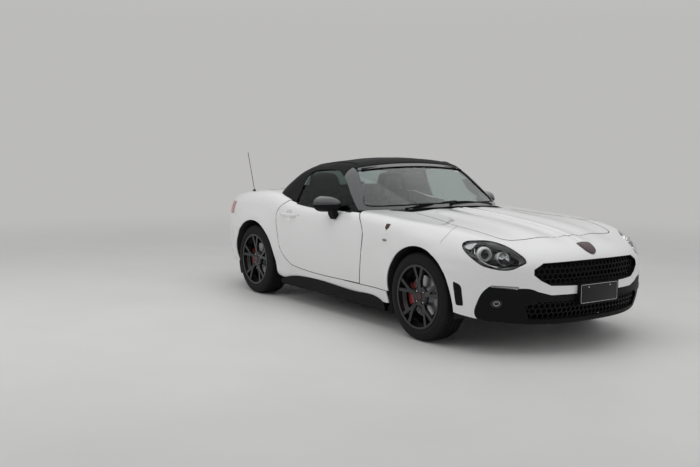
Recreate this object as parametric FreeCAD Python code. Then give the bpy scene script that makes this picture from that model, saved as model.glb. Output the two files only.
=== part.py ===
"""Two-seat roadster with its fabric top up, built as separate body, glass, chassis and cabin pieces.

Frame: origin on the floor under the middle of the car, +X to the car's left, the nose towards -Y, +Z up.
Sizes are in millimetres.
"""

import FreeCAD, Part
import math
import os

Vector = FreeCAD.Vector

# Driving dimensions
LENGTH = 4054.0
WHEELBASE = 2310.0
FRONT_OVERHANG = 868.0
FRONT_TRACK = 1496.0
REAR_TRACK = 1503.0
ROOF_HEIGHT = 1233.0
TYRE_RADIUS = 308.0
TYRE_WIDTH = 205.0
RIM_RADIUS = 216.0
ARCH_RADIUS = 354.0

# Sheet and panel sizes
SKIN = 7.0
PANEL_GAP = 6.0
GLASS = 5.0
GLASS_SINK = 9.0
REAR_WINDOW_SINK = 3.0
FRAME_DEPTH = 34.0
FABRIC = 12.0
LAMP_WALL = 6.0
LAMP_DEPTH = 60.0
TRAY_WALL = 5.0

FRONT_AXLE_Y = -LENGTH / 2 + FRONT_OVERHANG
REAR_AXLE_Y = FRONT_AXLE_Y + WHEELBASE
AXLE_Z = TYRE_RADIUS
FRONT_WHEEL_X = FRONT_TRACK / 2
REAR_WHEEL_X = REAR_TRACK / 2


# Curves through chosen stations


def spline(points):
    """Returns a natural cubic curve through (place, value) points, straight past both ends."""
    xs = [p[0] for p in points]
    ys = [p[1] for p in points]
    n = len(xs)
    gaps = [xs[i + 1] - xs[i] for i in range(n - 1)]
    diagonal = [1.0] * n
    right = [0.0] * n
    bends = [0.0] * n
    for i in range(1, n - 1):
        slope_after = (ys[i + 1] - ys[i]) / gaps[i]
        slope_before = (ys[i] - ys[i - 1]) / gaps[i - 1]
        scale = gaps[i - 1] / diagonal[i - 1]
        diagonal[i] = 2 * (gaps[i - 1] + gaps[i]) - scale * right[i - 1]
        right[i] = gaps[i]
        bends[i] = 6 * (slope_after - slope_before) - scale * bends[i - 1]
    bends[n - 1] = 0.0
    for i in range(n - 2, 0, -1):
        bends[i] = (bends[i] - right[i] * bends[i + 1]) / diagonal[i]
    bends[0] = 0.0

    def value(x):
        """Height of the curve at x."""
        if x <= xs[0]:
            slope = (ys[1] - ys[0]) / gaps[0] - gaps[0] * bends[1] / 6
            return ys[0] + slope * (x - xs[0])
        if x >= xs[-1]:
            slope = (ys[-1] - ys[-2]) / gaps[-1] + gaps[-1] * bends[-2] / 6
            return ys[-1] + slope * (x - xs[-1])
        i = 0
        while xs[i + 1] < x:
            i += 1
        a = (xs[i + 1] - x) / gaps[i]
        b = 1 - a
        bulge = (a**3 - a) * bends[i] + (b**3 - b) * bends[i + 1]
        return a * ys[i] + b * ys[i + 1] + bulge * gaps[i] ** 2 / 6

    return value


def shifted(points, origin):
    """The same points with their places measured from origin."""
    return [(origin + place, value) for place, value in points]


# The lower body's guide curves. Places are along the car, measured from the axle named.
CENTRE_Z = spline(
    shifted([(-841, 655), (-741, 700), (-601, 736), (-341, 783)], FRONT_AXLE_Y)
    + shifted([(0, 822), (359, 850), (599, 864)], FRONT_AXLE_Y)
    + shifted([(-1451, 872), (-851, 900), (-251, 926), (49, 932)], REAR_AXLE_Y)
    + shifted([(449, 918), (699, 900), (809, 893)], REAR_AXLE_Y)
)
CREST_Z = spline(
    shifted([(-741, 640), (-591, 700), (-441, 748), (-241, 786)], FRONT_AXLE_Y)
    + shifted([(0, 806), (359, 820), (709, 838)], FRONT_AXLE_Y)
    + shifted([(-1151, 838), (-751, 842), (-501, 866), (-301, 905), (-51, 925)], REAR_AXLE_Y)
    + shifted([(199, 912), (449, 885), (649, 850), (799, 800)], REAR_AXLE_Y)
)
CREST_X = spline(
    shifted([(-741, 590), (-441, 650), (0, 712), (359, 735), (709, 748)], FRONT_AXLE_Y)
    + shifted([(-851, 748), (-451, 740), (-51, 715), (349, 680), (749, 610)], REAR_AXLE_Y)
)
HALF_WIDTH = spline(
    shifted([(-641, 782), (-441, 832), (-241, 858), (0, 866), (259, 856), (559, 846)], FRONT_AXLE_Y)
    + shifted([(-1351, 840), (-951, 842), (-551, 850), (-251, 864), (0, 870)], REAR_AXLE_Y)
    + shifted([(249, 866), (499, 832), (699, 766), (849, 700)], REAR_AXLE_Y)
)
WIDEST_Z = spline(
    shifted([(-541, 480), (0, 540), (559, 560)], FRONT_AXLE_Y)
    + shifted([(-1151, 560), (-551, 580), (0, 600), (549, 560)], REAR_AXLE_Y)
)
NOSE_IN = spline(
    [(180, 77), (230, 55), (300, 35), (400, 24), (480, 23), (560, 31), (620, 47), (680, 82), (740, 147)]
)
TAIL_IN = spline(
    [(180, 102), (260, 77), (400, 42), (520, 22), (620, 27), (700, 37), (800, 42), (880, 27), (940, 37)]
)

# Body form, as the room left inside five guide surfaces

BLEND = 2.3
TOP_ROUND = 75.0
SIDE_ROUND = 85.0
NOSE_ROUND = 95.0
TAIL_ROUND = 60.0
NOSE_SWEEP = 42.0
NOSE_POWER = 2.8
TAIL_SWEEP = 34.0
TAIL_POWER = 2.7
PLAN_UNIT = 400.0
CROWN_SHARE = 0.45
SHOULDER_DROP = 0.0028
UPPER_TUCK = 62.0
LOWER_TUCK = 38.0
TUCK_UNIT = 300.0
ARCH_SWELL = 12.0
ARCH_SWELL_RADIUS = 375.0
ARCH_SWELL_WIDTH = 55.0
ARCH_SWELL_LOW_Z = 150.0
ARCH_SWELL_FADE = 200.0
BULGE_X = 250.0
BULGE_HEIGHT = 11.0
BULGE_WIDTH = 85.0
BULGE_FADE = 250.0
BULGE_START_Y = FRONT_AXLE_Y - 741
BULGE_END_Y = FRONT_AXLE_Y + 659


def share(value):
    """Value limited to the span from 0 to 1."""
    return min(1.0, max(0.0, value))


def top_height(x, y):
    """Height of the upper body surface, with the two long bulges of the hood."""
    x = abs(x)
    part_way = x / CREST_X(y)
    rise = 1.0
    if part_way < 1:
        smooth = part_way * part_way * (3 - 2 * part_way)
        rise = (1 - CROWN_SHARE) * smooth + CROWN_SHARE * part_way * part_way
    z = CENTRE_Z(y) + (CREST_Z(y) - CENTRE_Z(y)) * rise
    if part_way > 1:
        z -= SHOULDER_DROP * (x - CREST_X(y)) ** 2
    fade = share((BULGE_END_Y - y) / BULGE_FADE) * share((y - BULGE_START_Y) / BULGE_FADE)
    return z + BULGE_HEIGHT * fade * math.exp(-(((x - BULGE_X) / BULGE_WIDTH) ** 2))


def side_width(y, z):
    """Half width of the body side, tucked in above and below and swollen round both wheel arches."""
    rise = (z - WIDEST_Z(y)) / TUCK_UNIT
    tuck = UPPER_TUCK if rise > 0 else LOWER_TUCK
    width = HALF_WIDTH(y) - tuck * rise * rise
    for axle_y in (FRONT_AXLE_Y, REAR_AXLE_Y):
        reach = math.hypot(y - axle_y, z - AXLE_Z)
        swell = math.exp(-(((reach - ARCH_SWELL_RADIUS) / ARCH_SWELL_WIDTH) ** 2))
        width += ARCH_SWELL * swell * share((z - ARCH_SWELL_LOW_Z) / ARCH_SWELL_FADE)
    return width


def nose_place(x, z):
    """Place of the nose surface along the car."""
    return -LENGTH / 2 + NOSE_IN(z) + NOSE_SWEEP * (abs(x) / PLAN_UNIT) ** NOSE_POWER


def tail_place(x, z):
    """Place of the tail surface along the car."""
    return LENGTH / 2 - TAIL_IN(z) - TAIL_SWEEP * (abs(x) / PLAN_UNIT) ** TAIL_POWER


def sweep_slope(x, sweep, power):
    """Stretch of a swept end surface at x, to turn a run along the car into a distance."""
    slope = sweep * power / PLAN_UNIT * (abs(x) / PLAN_UNIT) ** (power - 1)
    return math.sqrt(1 + slope * slope)


def rounded_room(walls):
    """Room inside several walls, each given as a distance and a rounding size: 0 on the surface."""
    crowding = 0.0
    for distance, rounding in walls:
        closeness = 1 - distance / rounding
        if closeness > 0:
            crowding += closeness**BLEND
    return 1 - crowding ** (1 / BLEND)


def body_room(x, y, z):
    """Above 0 inside the lower body, 0 on its surface."""
    return rounded_room(
        (
            (top_height(x, y) - z, TOP_ROUND),
            (side_width(y, z) - abs(x), SIDE_ROUND),
            ((y - nose_place(x, z)) / sweep_slope(x, NOSE_SWEEP, NOSE_POWER), NOSE_ROUND),
            ((tail_place(x, z) - y) / sweep_slope(x, TAIL_SWEEP, TAIL_POWER), TAIL_ROUND),
        )
    )


# Upper form over the cabin: screen, roof and fabric back

BELT_Z = 845.0
CABIN_MIDDLE_Y = 300.0
ROOF_Z = spline(
    [(-200, ROOF_HEIGHT - 103), (-60, ROOF_HEIGHT - 38), (0, ROOF_HEIGHT - 20), (170, ROOF_HEIGHT)]
    + [(400, ROOF_HEIGHT - 5), (600, ROOF_HEIGHT - 30), (750, ROOF_HEIGHT - 63), (1000, ROOF_HEIGHT - 143)]
)
ROOF_CROWN = 45.0
ROOF_CROWN_POWER = 2.4
UPPER_UNIT = 560.0
SCREEN_FOOT_Y = -560.0
SCREEN_FOOT_Z = 860.0
SCREEN_RUN = 1.606
SCREEN_SWEEP = 200.0
SCREEN_SWEEP_FADE = 0.29
CABIN_HALF_WIDTH = 762.0
TUMBLEHOME = 145.0
TUMBLEHOME_BULGE = 22.0
TUMBLEHOME_UNIT = 320.0
BACK_FOOT_Y = 1150.0
BACK_FOOT_Z = 905.0
BACK_RUN = 1.35
BACK_SWEEP = 90.0
BACK_POWER = 3.4


def upper_room(x, y, z):
    """Above 0 inside the upper form, 0 on its surface."""
    roof = ROOF_Z(y) - ROOF_CROWN * (abs(x) / UPPER_UNIT) ** ROOF_CROWN_POWER
    sweep = SCREEN_SWEEP - SCREEN_SWEEP_FADE * (z - BELT_Z)
    screen = SCREEN_FOOT_Y + SCREEN_RUN * (z - SCREEN_FOOT_Z) + sweep * (x / 600.0) ** 2
    rise = (z - BELT_Z) / TUMBLEHOME_UNIT
    side = CABIN_HALF_WIDTH - TUMBLEHOME * rise - TUMBLEHOME_BULGE * rise * rise
    back = BACK_FOOT_Y - BACK_RUN * (z - BACK_FOOT_Z) - BACK_SWEEP * (abs(x) / UPPER_UNIT) ** BACK_POWER
    walls = [(roof - z, 90.0), ((side - abs(x)) * 0.9, 60.0)]
    walls += [((y - screen) * 0.53, 45.0), ((back - y) * 0.6, 70.0)]
    return rounded_room(walls)


# Finding points on a form and skins through them

STEP = 40.0
HALVINGS = 26
PROBE = 0.5


def surface_point(room, start, way, longest):
    """First place where a straight way from inside the form meets its surface."""
    inside = 0.0
    outside = STEP
    while outside < longest and room(*(start + way * outside)) > 0:
        inside = outside
        outside += STEP
    for _ in range(HALVINGS):
        middle = (inside + outside) / 2
        if room(*(start + way * middle)) > 0:
            inside = middle
        else:
            outside = middle
    return start + way * inside


def inward(room, point):
    """Unit way into the form, square to its surface."""
    x, y, z = point
    way = Vector(
        room(x + PROBE, y, z) - room(x - PROBE, y, z),
        room(x, y + PROBE, z) - room(x, y - PROBE, z),
        room(x, y, z + PROBE) - room(x, y, z - PROBE),
    )
    return way.normalize()


def sunk(room, rows, depth):
    """The surface points moved into the form, kept on the middle plane where they start there."""
    moved = []
    for row in rows:
        line = []
        for point in row:
            way = inward(room, point)
            if abs(point.x) < PROBE:
                way.x = 0
            line.append(point + way * depth)
        moved.append(line)
    return moved


def surface_through(rows):
    """Smooth surface that passes through rows of points."""
    surface = Part.BSplineSurface()
    surface.interpolate(rows)
    return surface.toShape()


def skin_between(room, rows, outer_depth, inner_depth):
    """Closed solid between two depths under the surface through rows of points."""
    outer = surface_through(sunk(room, rows, outer_depth))
    inner = surface_through(sunk(room, rows, inner_depth))
    faces = [outer, inner.reversed()]
    for outer_edge, inner_edge in zip(outer.Edges, inner.Edges):
        faces.append(Part.makeRuledSurface(outer_edge, inner_edge, 1))
    shell = Part.makeCompound(faces)
    shell.sewShape(0.01)
    solid = Part.Solid(shell.Shells[0])
    if solid.Volume < 0:
        solid.reverse()
    return solid


BODY_CORE_X = 560.0
BODY_CORE_DEPTH = 170.0


def body_row(foot, up, low, crown_count, corner_count, side_count):
    """Surface points of one section of the left half, from the middle plane round to the sill."""
    across = Vector(1, 0, 0)
    crown_foot = Vector(BODY_CORE_X, foot.y, foot.z)
    shoulder = surface_point(body_room, crown_foot + up * 60, up, 1600) - crown_foot
    core = max(shoulder.dot(up) - BODY_CORE_DEPTH, low + 30)
    row = []
    for i in range(crown_count):
        start = foot + across * (BODY_CORE_X * i / crown_count) + up * 60
        row.append(surface_point(body_room, start, up, 1600))
    for i in range(corner_count):
        turn = math.pi / 2 * i / (corner_count - 1)
        way = up * math.cos(turn) + across * math.sin(turn)
        row.append(surface_point(body_room, crown_foot + up * core, way, 1600))
    for i in range(1, side_count + 1):
        height = core + (low - core) * i / side_count
        row.append(surface_point(body_room, crown_foot + up * height, across, 1600))
    return row


def body_rows():
    """Sections that fan round the front axle line, cross the doors and fan round the rear axle line."""
    rows = []
    counts = (6, 8, 6)
    axle = Vector(0, FRONT_AXLE_Y, AXLE_Z)
    for degrees in (98, 92, 86, 80, 74, 68, 62, 56, 50, 43, 35, 25, 13, 0):
        turn = math.radians(degrees)
        rows.append(body_row(axle, Vector(0, -math.sin(turn), math.cos(turn)), 120, *counts))
    middle = [(0.045, 60), (0.1, -30), (0.15, -95), (0.22, -108), (0.31, -108), (0.4, -108), (0.5, -108)]
    middle += [(0.6, -108), (0.69, -108), (0.78, -108), (0.85, -95), (0.9, -30), (0.955, 60)]
    for part_way, low in middle:
        foot = Vector(0, FRONT_AXLE_Y + part_way * WHEELBASE, AXLE_Z)
        rows.append(body_row(foot, Vector(0, 0, 1), low, *counts))
    axle = Vector(0, REAR_AXLE_Y, AXLE_Z)
    for degrees in (0, 12, 24, 35, 44, 50, 54, 58, 63, 70, 80, 89, 98):
        turn = math.radians(degrees)
        rows.append(body_row(axle, Vector(0, math.sin(turn), math.cos(turn)), 120, *counts))
    return rows


UPPER_PIVOT_Z = 760.0
UPPER_CORE_X = 380.0


def upper_rows():
    """Sections of the left half of the upper form, that fan round a line across the cabin."""
    pivot = Vector(0, CABIN_MIDDLE_Y, UPPER_PIVOT_Z)
    across = Vector(1, 0, 0)
    rows = []
    for degrees in (4, 11, 17, 22, 27, 33, 41, 52, 66, 80, 94, 108, 120, 130, 139, 147, 155, 164, 174):
        turn = math.radians(degrees)
        up = Vector(0, -math.cos(turn), math.sin(turn))
        row = []
        for i in range(5):
            row.append(surface_point(upper_room, pivot + across * (UPPER_CORE_X * i / 5) + up * 60, up, 1600))
        crown_foot = pivot + across * UPPER_CORE_X
        shoulder = (surface_point(upper_room, crown_foot + up * 60, up, 1600) - crown_foot).dot(up)
        core = shoulder * 0.62
        for i in range(8):
            tilt = math.pi / 2 * i / 7
            way = up * math.cos(tilt) + across * math.sin(tilt)
            row.append(surface_point(upper_room, crown_foot + up * core, way, 1600))
        for i in range(1, 6):
            row.append(surface_point(upper_room, crown_foot + up * core * (1 - i / 5), across, 1600))
        rows.append(row)
    return rows


# Outlines, prisms and simple solids

FAR = 3000.0
HALF_GAP = PANEL_GAP / 2


def unit(a, b):
    """Unit way from one flat point to another."""
    length = math.hypot(b[0] - a[0], b[1] - a[1])
    return (b[0] - a[0]) / length, (b[1] - a[1]) / length


def grown_runs(runs, grow):
    """The runs of a closed outline moved outwards by one distance, with mitred corners."""
    corners = [point for run in runs for point in run[:-1]]
    following = corners[1:] + corners[:1]
    area = sum(a[0] * b[1] - b[0] * a[1] for a, b in zip(corners, following))
    outwards = grow if area > 0 else -grow
    moved = []
    for i, run in enumerate(runs):
        before = runs[i - 1][-2]
        after = runs[(i + 1) % len(runs)][1]
        chain = [before] + run + [after]
        line = []
        for k in range(1, len(chain) - 1):
            x1, y1 = unit(chain[k - 1], chain[k])
            x2, y2 = unit(chain[k], chain[k + 1])
            mitre = outwards / (1 + x1 * x2 + y1 * y2)
            line.append((chain[k][0] + (y1 + y2) * mitre, chain[k][1] - (x1 + x2) * mitre))
        moved.append(line)
    return moved


def outline(view, runs, grow=0.0):
    """Flat face seen from the top (x, y), side (y, z) or front (x, z). A run of two points is straight,
    a longer one a smooth curve, and each run starts where the last one ended."""
    place = {
        "top": lambda a, b: Vector(a, b, 0),
        "side": lambda a, b: Vector(0, a, b),
        "front": lambda a, b: Vector(a, 0, b),
    }[view]
    edges = []
    for run in grown_runs(runs, grow):
        points = [place(*pair) for pair in run]
        if len(points) == 2:
            edges.append(Part.makeLine(*points))
        else:
            curve = Part.BSplineCurve()
            curve.interpolate(points)
            edges.append(curve.toShape())
    return Part.Face(Part.Wire(edges))


def polygon(view, points, grow=0.0):
    """Flat face with straight sides."""
    ends = points[1:] + points[:1]
    return outline(view, [[a, b] for a, b in zip(points, ends)], grow)


def column(view, face, low, high):
    """Solid that carries a flat face square to its own plane between two places."""
    way = {"top": Vector(0, 0, 1), "side": Vector(1, 0, 0), "front": Vector(0, 1, 0)}[view]
    return face.translated(way * low).extrude(way * (high - low))


def block(x0, x1, y0, y1, z0, z1):
    """Square block between three pairs of places."""
    return Part.makeBox(x1 - x0, y1 - y0, z1 - z0, Vector(x0, y0, z0))


def rod(start, end, radius):
    """Round bar between two points."""
    start = Vector(*start)
    way = Vector(*end) - start
    return Part.makeCylinder(radius, way.Length, start, way)


def mirrored(shape):
    """The same shape on the other side of the middle plane."""
    return shape.mirror(Vector(0, 0, 0), Vector(1, 0, 0))


def joined(shapes):
    """One solid, or as many as the shapes leave apart."""
    whole = shapes[0]
    if len(shapes) > 1:
        whole = whole.fuse(shapes[1:])
    return whole


SLIVER = 1.0e4


def both_sides(shape):
    """A shape and its mirror image, joined where they meet on the middle plane, with no slivers."""
    solids = [solid for solid in shape.Solids if solid.Volume > SLIVER]
    shape = solids[0] if len(solids) == 1 else Part.makeCompound(solids)
    if min(abs(vertex.X) for vertex in shape.Vertexes) < 0.01:
        return joined([shape, mirrored(shape)])
    return Part.makeCompound([shape, mirrored(shape)])


def largest(shape):
    """The biggest solid of a cut, without the slivers that a grazing cut leaves."""
    return max(shape.Solids, key=lambda solid: solid.Volume)


def turned(profile, centre, axis, degrees=360.0):
    """Flat face or wire carried round an axis."""
    return profile.revolve(Vector(*centre), Vector(*axis), degrees)


def export(name, shape):
    """Writes the solids of one node to its own file."""
    solids = shape.Solids
    whole = solids[0] if len(solids) == 1 else Part.makeCompound(solids)
    whole.exportStep(os.path.join("parts", name + ".step"))


# Seams of the body panels

HOOD_REAR_Y = -622.0
HOOD_OUTLINE = [
    [(-40, HOOD_REAR_Y - 28), (-40, -1740)],
    [(-40, -1740), (108, -1739), (334, -1706), (480, -1684)],
    [(480, -1684), (528, -1655), (578, -1528), (609, -1290), (544, -1031), (486, -703), (478, HOOD_REAR_Y)],
    [(478, HOOD_REAR_Y), (240, HOOD_REAR_Y - 22), (-40, HOOD_REAR_Y - 28)],
]
COWL_OUTLINE = [
    [(-40, HOOD_REAR_Y - 28), (240, HOOD_REAR_Y - 22), (478, HOOD_REAR_Y)],
    [(478, HOOD_REAR_Y), (560, -440)],
    [(560, -440), (453, -410), (213, -470), (-40, -490)],
    [(-40, -490), (-40, HOOD_REAR_Y - 28)],
]
BUMPER_OUTLINE = [
    [(-40, -2200), (1100, -2200)],
    [(1100, -2200), (1100, -1340)],
    [(1100, -1340), (900, -1340)],
    [(900, -1340), (829, -1366), (773, -1381), (690, -1345), (609, -1290)],
    [(609, -1290), (400, -1290)],
    [(400, -1290), (-40, -1290)],
    [(-40, -1290), (-40, -2200)],
]
DOOR_FRONT = [(-422, 299), (-450, 406), (-478, 562), (-469, 711), (-400, 790), (-328, 843)]
DOOR_REAR = [(683, 862), (738, 815), (775, 762), (765, 660), (737, 563), (707, 462), (660, 389), (600, 344)]
DOOR_REAR += [(553, 323)]
DOOR_OUTLINE = [
    DOOR_FRONT,
    [(-328, 843), (-328, 900)],
    [(-328, 900), (683, 900)],
    [(683, 900), (683, 862)],
    DOOR_REAR,
    [(553, 323), (356, 304), (-14, 295), (-422, 299)],
]
FENDER_OUTLINE = [
    [(-422, 295), (-1700, 295)],
    [(-1700, 295), (-1700, 1000)],
    [(-1700, 1000), (-328, 1000)],
    [(-328, 1000), (-328, 843)],
    DOOR_FRONT[::-1],
    [(-422, 299), (-422, 295)],
]
CABIN_REAR_Y = 1085.0
CABIN_OUTLINE = [
    [(-40, -500), (213, -482), (453, -420), (594, -348), (672, -285)],
    [(672, -285), (712, -200), (742, 0)],
    [(742, 0), (748, 560)],
    [(748, 560), (735, 700), (712, 830), (640, 950), (400, 1055), (-40, CABIN_REAR_Y)],
    [(-40, CABIN_REAR_Y), (-40, -500)],
]
TRUNK_FRONT_Y = 1232.0
TRUNK_LOW_Z = 735.0
TRUNK_OUTLINE = [
    [(-40, TRUNK_FRONT_Y), (250, TRUNK_FRONT_Y + 6), (500, TRUNK_FRONT_Y + 34)],
    [(500, TRUNK_FRONT_Y + 34), (548, 1330), (556, 1500), (535, 1700), (500, 1850), (478, 2200)],
    [(478, 2200), (-40, 2200)],
    [(-40, 2200), (-40, TRUNK_FRONT_Y)],
]
REAR_BUMPER_OUTLINE = [
    [(1240, 648), (1330, 668), (1522, 694), (1600, 690)],
    [(1600, 690), (1850, 690)],
    [(1850, 690), (1880, TRUNK_LOW_Z)],
    [(1880, TRUNK_LOW_Z), (2300, TRUNK_LOW_Z)],
    [(2300, TRUNK_LOW_Z), (2300, -100)],
    [(2300, -100), (1240, -100)],
    [(1240, -100), (1240, 648)],
]
HEADLAMP_OUTLINE = [
    [(732, 734), (678, 737), (613, 725), (572, 698), (551, 665), (535, 634), (540, 606)],
    [(540, 606), (591, 581), (639, 563), (700, 562), (763, 582)],
    [(763, 582), (788, 615), (799, 661), (788, 700), (732, 734)],
]
MARKER_OUTLINE = [
    [(598, 434), (740, 448)],
    [(740, 448), (736, 464)],
    [(736, 464), (596, 457)],
    [(596, 457), (598, 434)],
]
TAIL_LAMP_OUTLINE = [
    [(1000, 800), (690, 800)],
    [(690, 800), (560, 790), (505, 752), (560, 712), (690, 696)],
    [(690, 696), (1000, 690)],
    [(1000, 690), (1000, 800)],
]
TAIL_LAMP_FRONT_Y = 1572.0
APRON_OUTLINE = [
    [(0, 396), (390, 398)],
    [(390, 398), (484, 424)],
    [(484, 424), (579, 446), (663, 442), (742, 458)],
    [(742, 458), (762, 430), (783, 340), (785, 295), (753, 214)],
    [(753, 214), (753, -100)],
    [(753, -100), (-40, -100)],
    [(-40, -100), (-40, 396)],
    [(-40, 396), (0, 396)],
]
GRILLE_TOP = [(-434, 604), (0, 611), (434, 604)]
GRILLE_OUTLINE = [
    GRILLE_TOP,
    [(434, 604), (504, 566)],
    [(504, 566), (508, 530)],
    [(508, 530), (462, 492)],
    [(462, 492), (398, 460)],
    [(398, 460), (0, 449), (-398, 460)],
    [(-398, 460), (-462, 492)],
    [(-462, 492), (-508, 530)],
    [(-508, 530), (-504, 566)],
    [(-504, 566), (-434, 604)],
]
SCREEN_OUTLINE = [
    [(-660, 866), (-453, 874), (-213, 882), (0, 885), (213, 882), (453, 874), (660, 866)],
    [(660, 866), (672, 884), (640, 950), (562, 1110), (540, 1140)],
    [(540, 1140), (0, 1171), (-540, 1140)],
    [(-540, 1140), (-562, 1110), (-640, 950), (-672, 884), (-660, 866)],
]
WINDOW_OUTLINE = [
    [(-262, 848), (-179, 910), (15, 1056), (120, 1110), (176, 1128)],
    [(176, 1128), (307, 1130), (500, 1112), (533, 1104)],
    [(533, 1104), (562, 1056), (574, 955), (580, 858)],
    [(580, 858), (583, 700)],
    [(583, 700), (-262, 700)],
    [(-262, 700), (-262, 848)],
]
HEADER_Y = 48.0

HEADER_OUTLINE = [
    [(-275, 700), (-275, 848)],
    [(-275, 848), (-190, 916), (5, 1064), (HEADER_Y, 1092)],
    [(HEADER_Y, 1092), (HEADER_Y, 1400)],
    [(HEADER_Y, 1400), (-900, 1400)],
    [(-900, 1400), (-900, 700)],
    [(-900, 700), (-275, 700)],
]
REAR_WINDOW_OUTLINE = [
    [(-430, 972), (0, 966), (430, 972)],
    [(430, 972), (448, 990), (415, 1090), (395, 1102)],
    [(395, 1102), (0, 1112), (-395, 1102)],
    [(-395, 1102), (-415, 1090), (-448, 990), (-430, 972)],
]


class Forms:
    """Skins and tools that several pieces are cut from, each made once."""

    def __init__(self):
        """Makes every skin once."""
        rows = body_rows()
        self.rows = rows
        self.skin = skin_between(body_room, rows, 0, SKIN)
        self.middle = surface_through(sunk(body_room, rows, SKIN / 2))
        self.lamp_cover = skin_between(body_room, rows, LAMP_WALL - 4.3, LAMP_WALL - 0.3)
        upper = upper_rows()
        self.upper_rows = upper
        self.frame = skin_between(upper_room, upper, 0, FRAME_DEPTH)
        self.glass = skin_between(upper_room, upper, GLASS_SINK, GLASS_SINK + GLASS)
        self.glass_slot = skin_between(upper_room, upper, GLASS_SINK - 2, GLASS_SINK + GLASS + 2)
        self.fabric = skin_between(upper_room, upper, 0, FABRIC)
        self.below_deck = self.deck_tool()
        self.seat_skin = skin_between(body_room, rows, -SEAT_GAP, COWL_SINK)
        patch = surface_through(sunk(body_room, rows, -SEAT_GAP))
        patch = patch.common(block(700, 1000, -180, 60, 740, 832))
        self.inside_door = patch.extrude(Vector(-150, 0, 0))

    @staticmethod
    def deck_tool():
        """Everything below the upper body surface, to seat the screen frame and the fabric top on it."""
        rows = []
        for y in range(-750, 1651, 75):
            rows.append([Vector(x, y, top_height(x, y) + SEAT_GAP) for x in range(0, 901, 45)])
        return surface_through(rows).extrude(Vector(0, 0, -400))


def wheel_arch(axle_y, radius, low_x=430.0):
    """Round opening over a wheel, from its inner wall out past the body side."""
    return rod((low_x, axle_y, AXLE_Z), (1200, axle_y, AXLE_Z), radius)


def region(view, runs, low, high, grow=0.0):
    """Prism of an outline of curved runs between two places."""
    return column(view, outline(view, runs, grow), low, high)


# Body panels

SEAT_GAP = 0.3
GRILLE_SINK = 26.0
INTAKE_SINK = 14.0
MESH_RIM = 9.0
COLLAR = 4.0
GRILLE_THICK = 6.0
GRILLE_CELL = 38.0
GRILLE_BAR = 6.0
HINGE_X = 784.0
HINGE_Y = -340.0
HINGE_CLEAR = 5.0
HINGE_HEIGHTS = (430.0, 680.0)
HINGE_PIN = 8.0
HINGE_RING = 15.0
PIN_CLEAR = 0.3
HINGE_ROOM = 32.0
HINGE_ROOM_HALF = 40.0
SWEEP_STEPS = 24
DOOR_THICK = 96.0
LID_ARM = 12.0
LID_RING = 11.0
LID_PIN = 6.0
HOOD_HINGE = (-600.0, 812.0)
HOOD_HINGE_X = 446.0
TRUNK_HINGE = (1150.0, 905.0)
TRUNK_HINGE_X = 300.0
COWL_SINK = 12.0
COWL_SHEET = 4.0
COWL_STEP_Y = -535.0
SILL_TOP_Z = 292.0
SKIRT_OUTLINE = [
    [(760, 177), (629, 216), (460, 239), (4, 242), (-407, 229), (-665, 214), (-728, 178)],
    [(-728, 178), (-728, 130)],
    [(-728, 130), (760, 130)],
    [(760, 130), (760, 177)],
]
INTAKE_OUTLINE = [
    [(-560, 330), (-470, 360)],
    [(-470, 360), (470, 360)],
    [(470, 360), (560, 330)],
    [(560, 330), (520, 236)],
    [(520, 236), (0, 226), (-520, 236)],
    [(-520, 236), (-560, 330)],
]
DIFFUSER_OUTLINE = [
    [(-470, 150), (-440, 270)],
    [(-440, 270), (-250, 318), (0, 322), (250, 318), (440, 270)],
    [(440, 270), (470, 150)],
    [(470, 150), (-470, 150)],
]
EXHAUST_X = 345.0
EXHAUST_Z = 262.0
EXHAUST_RADIUS = 40.0
EXHAUST_WALL = 3.0


def hexagons(view_runs, cell, bar):
    """Corner points of the honeycomb cells that cover an outline seen from the front."""
    xs = [p[0] for run in view_runs for p in run]
    zs = [p[1] for run in view_runs for p in run]
    pitch_z = cell * math.sqrt(3) / 2
    radius = (cell - bar) / math.sqrt(3)
    cells = []
    rows = int((max(zs) - min(zs)) / pitch_z) + 2
    columns = int(max(xs) / cell) + 2
    for row in range(rows):
        z = min(zs) + row * pitch_z
        for column_index in range(-1, columns):
            x = (column_index + 0.5 * (row % 2)) * cell
            points = []
            for corner in range(6):
                turn = math.radians(60 * corner + 30)
                points.append((x + radius * math.cos(turn), z + radius * math.sin(turn)))
            cells.append(points)
    return cells


def mesh_panel(band, runs, y0, y1):
    """Honeycomb mesh cut from a curved band, inside an outline seen from the front."""
    panel = band.common(region("front", runs, y0, y1, -SEAT_GAP))
    rim = region("front", runs, y0, y1, -MESH_RIM)
    holes = []
    for points in hexagons(runs, GRILLE_CELL, GRILLE_BAR):
        holes.append(column("front", polygon("front", points), y0, y1))
    return panel.cut(Part.makeCompound(holes).common(rim))


def mesh_insert(rows, runs, depth, y0, y1):
    """Honeycomb mesh with the collar that carries it in its opening."""
    mesh = mesh_panel(skin_between(body_room, rows, depth, depth + GRILLE_THICK), runs, y0, y1)
    collar = skin_between(body_room, rows, 1.5, depth + GRILLE_THICK)
    collar = collar.common(region("front", runs, y0, y1, -SEAT_GAP))
    collar = collar.cut(region("front", runs, y0, y1, -COLLAR))
    return joined([mesh, collar])


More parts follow.
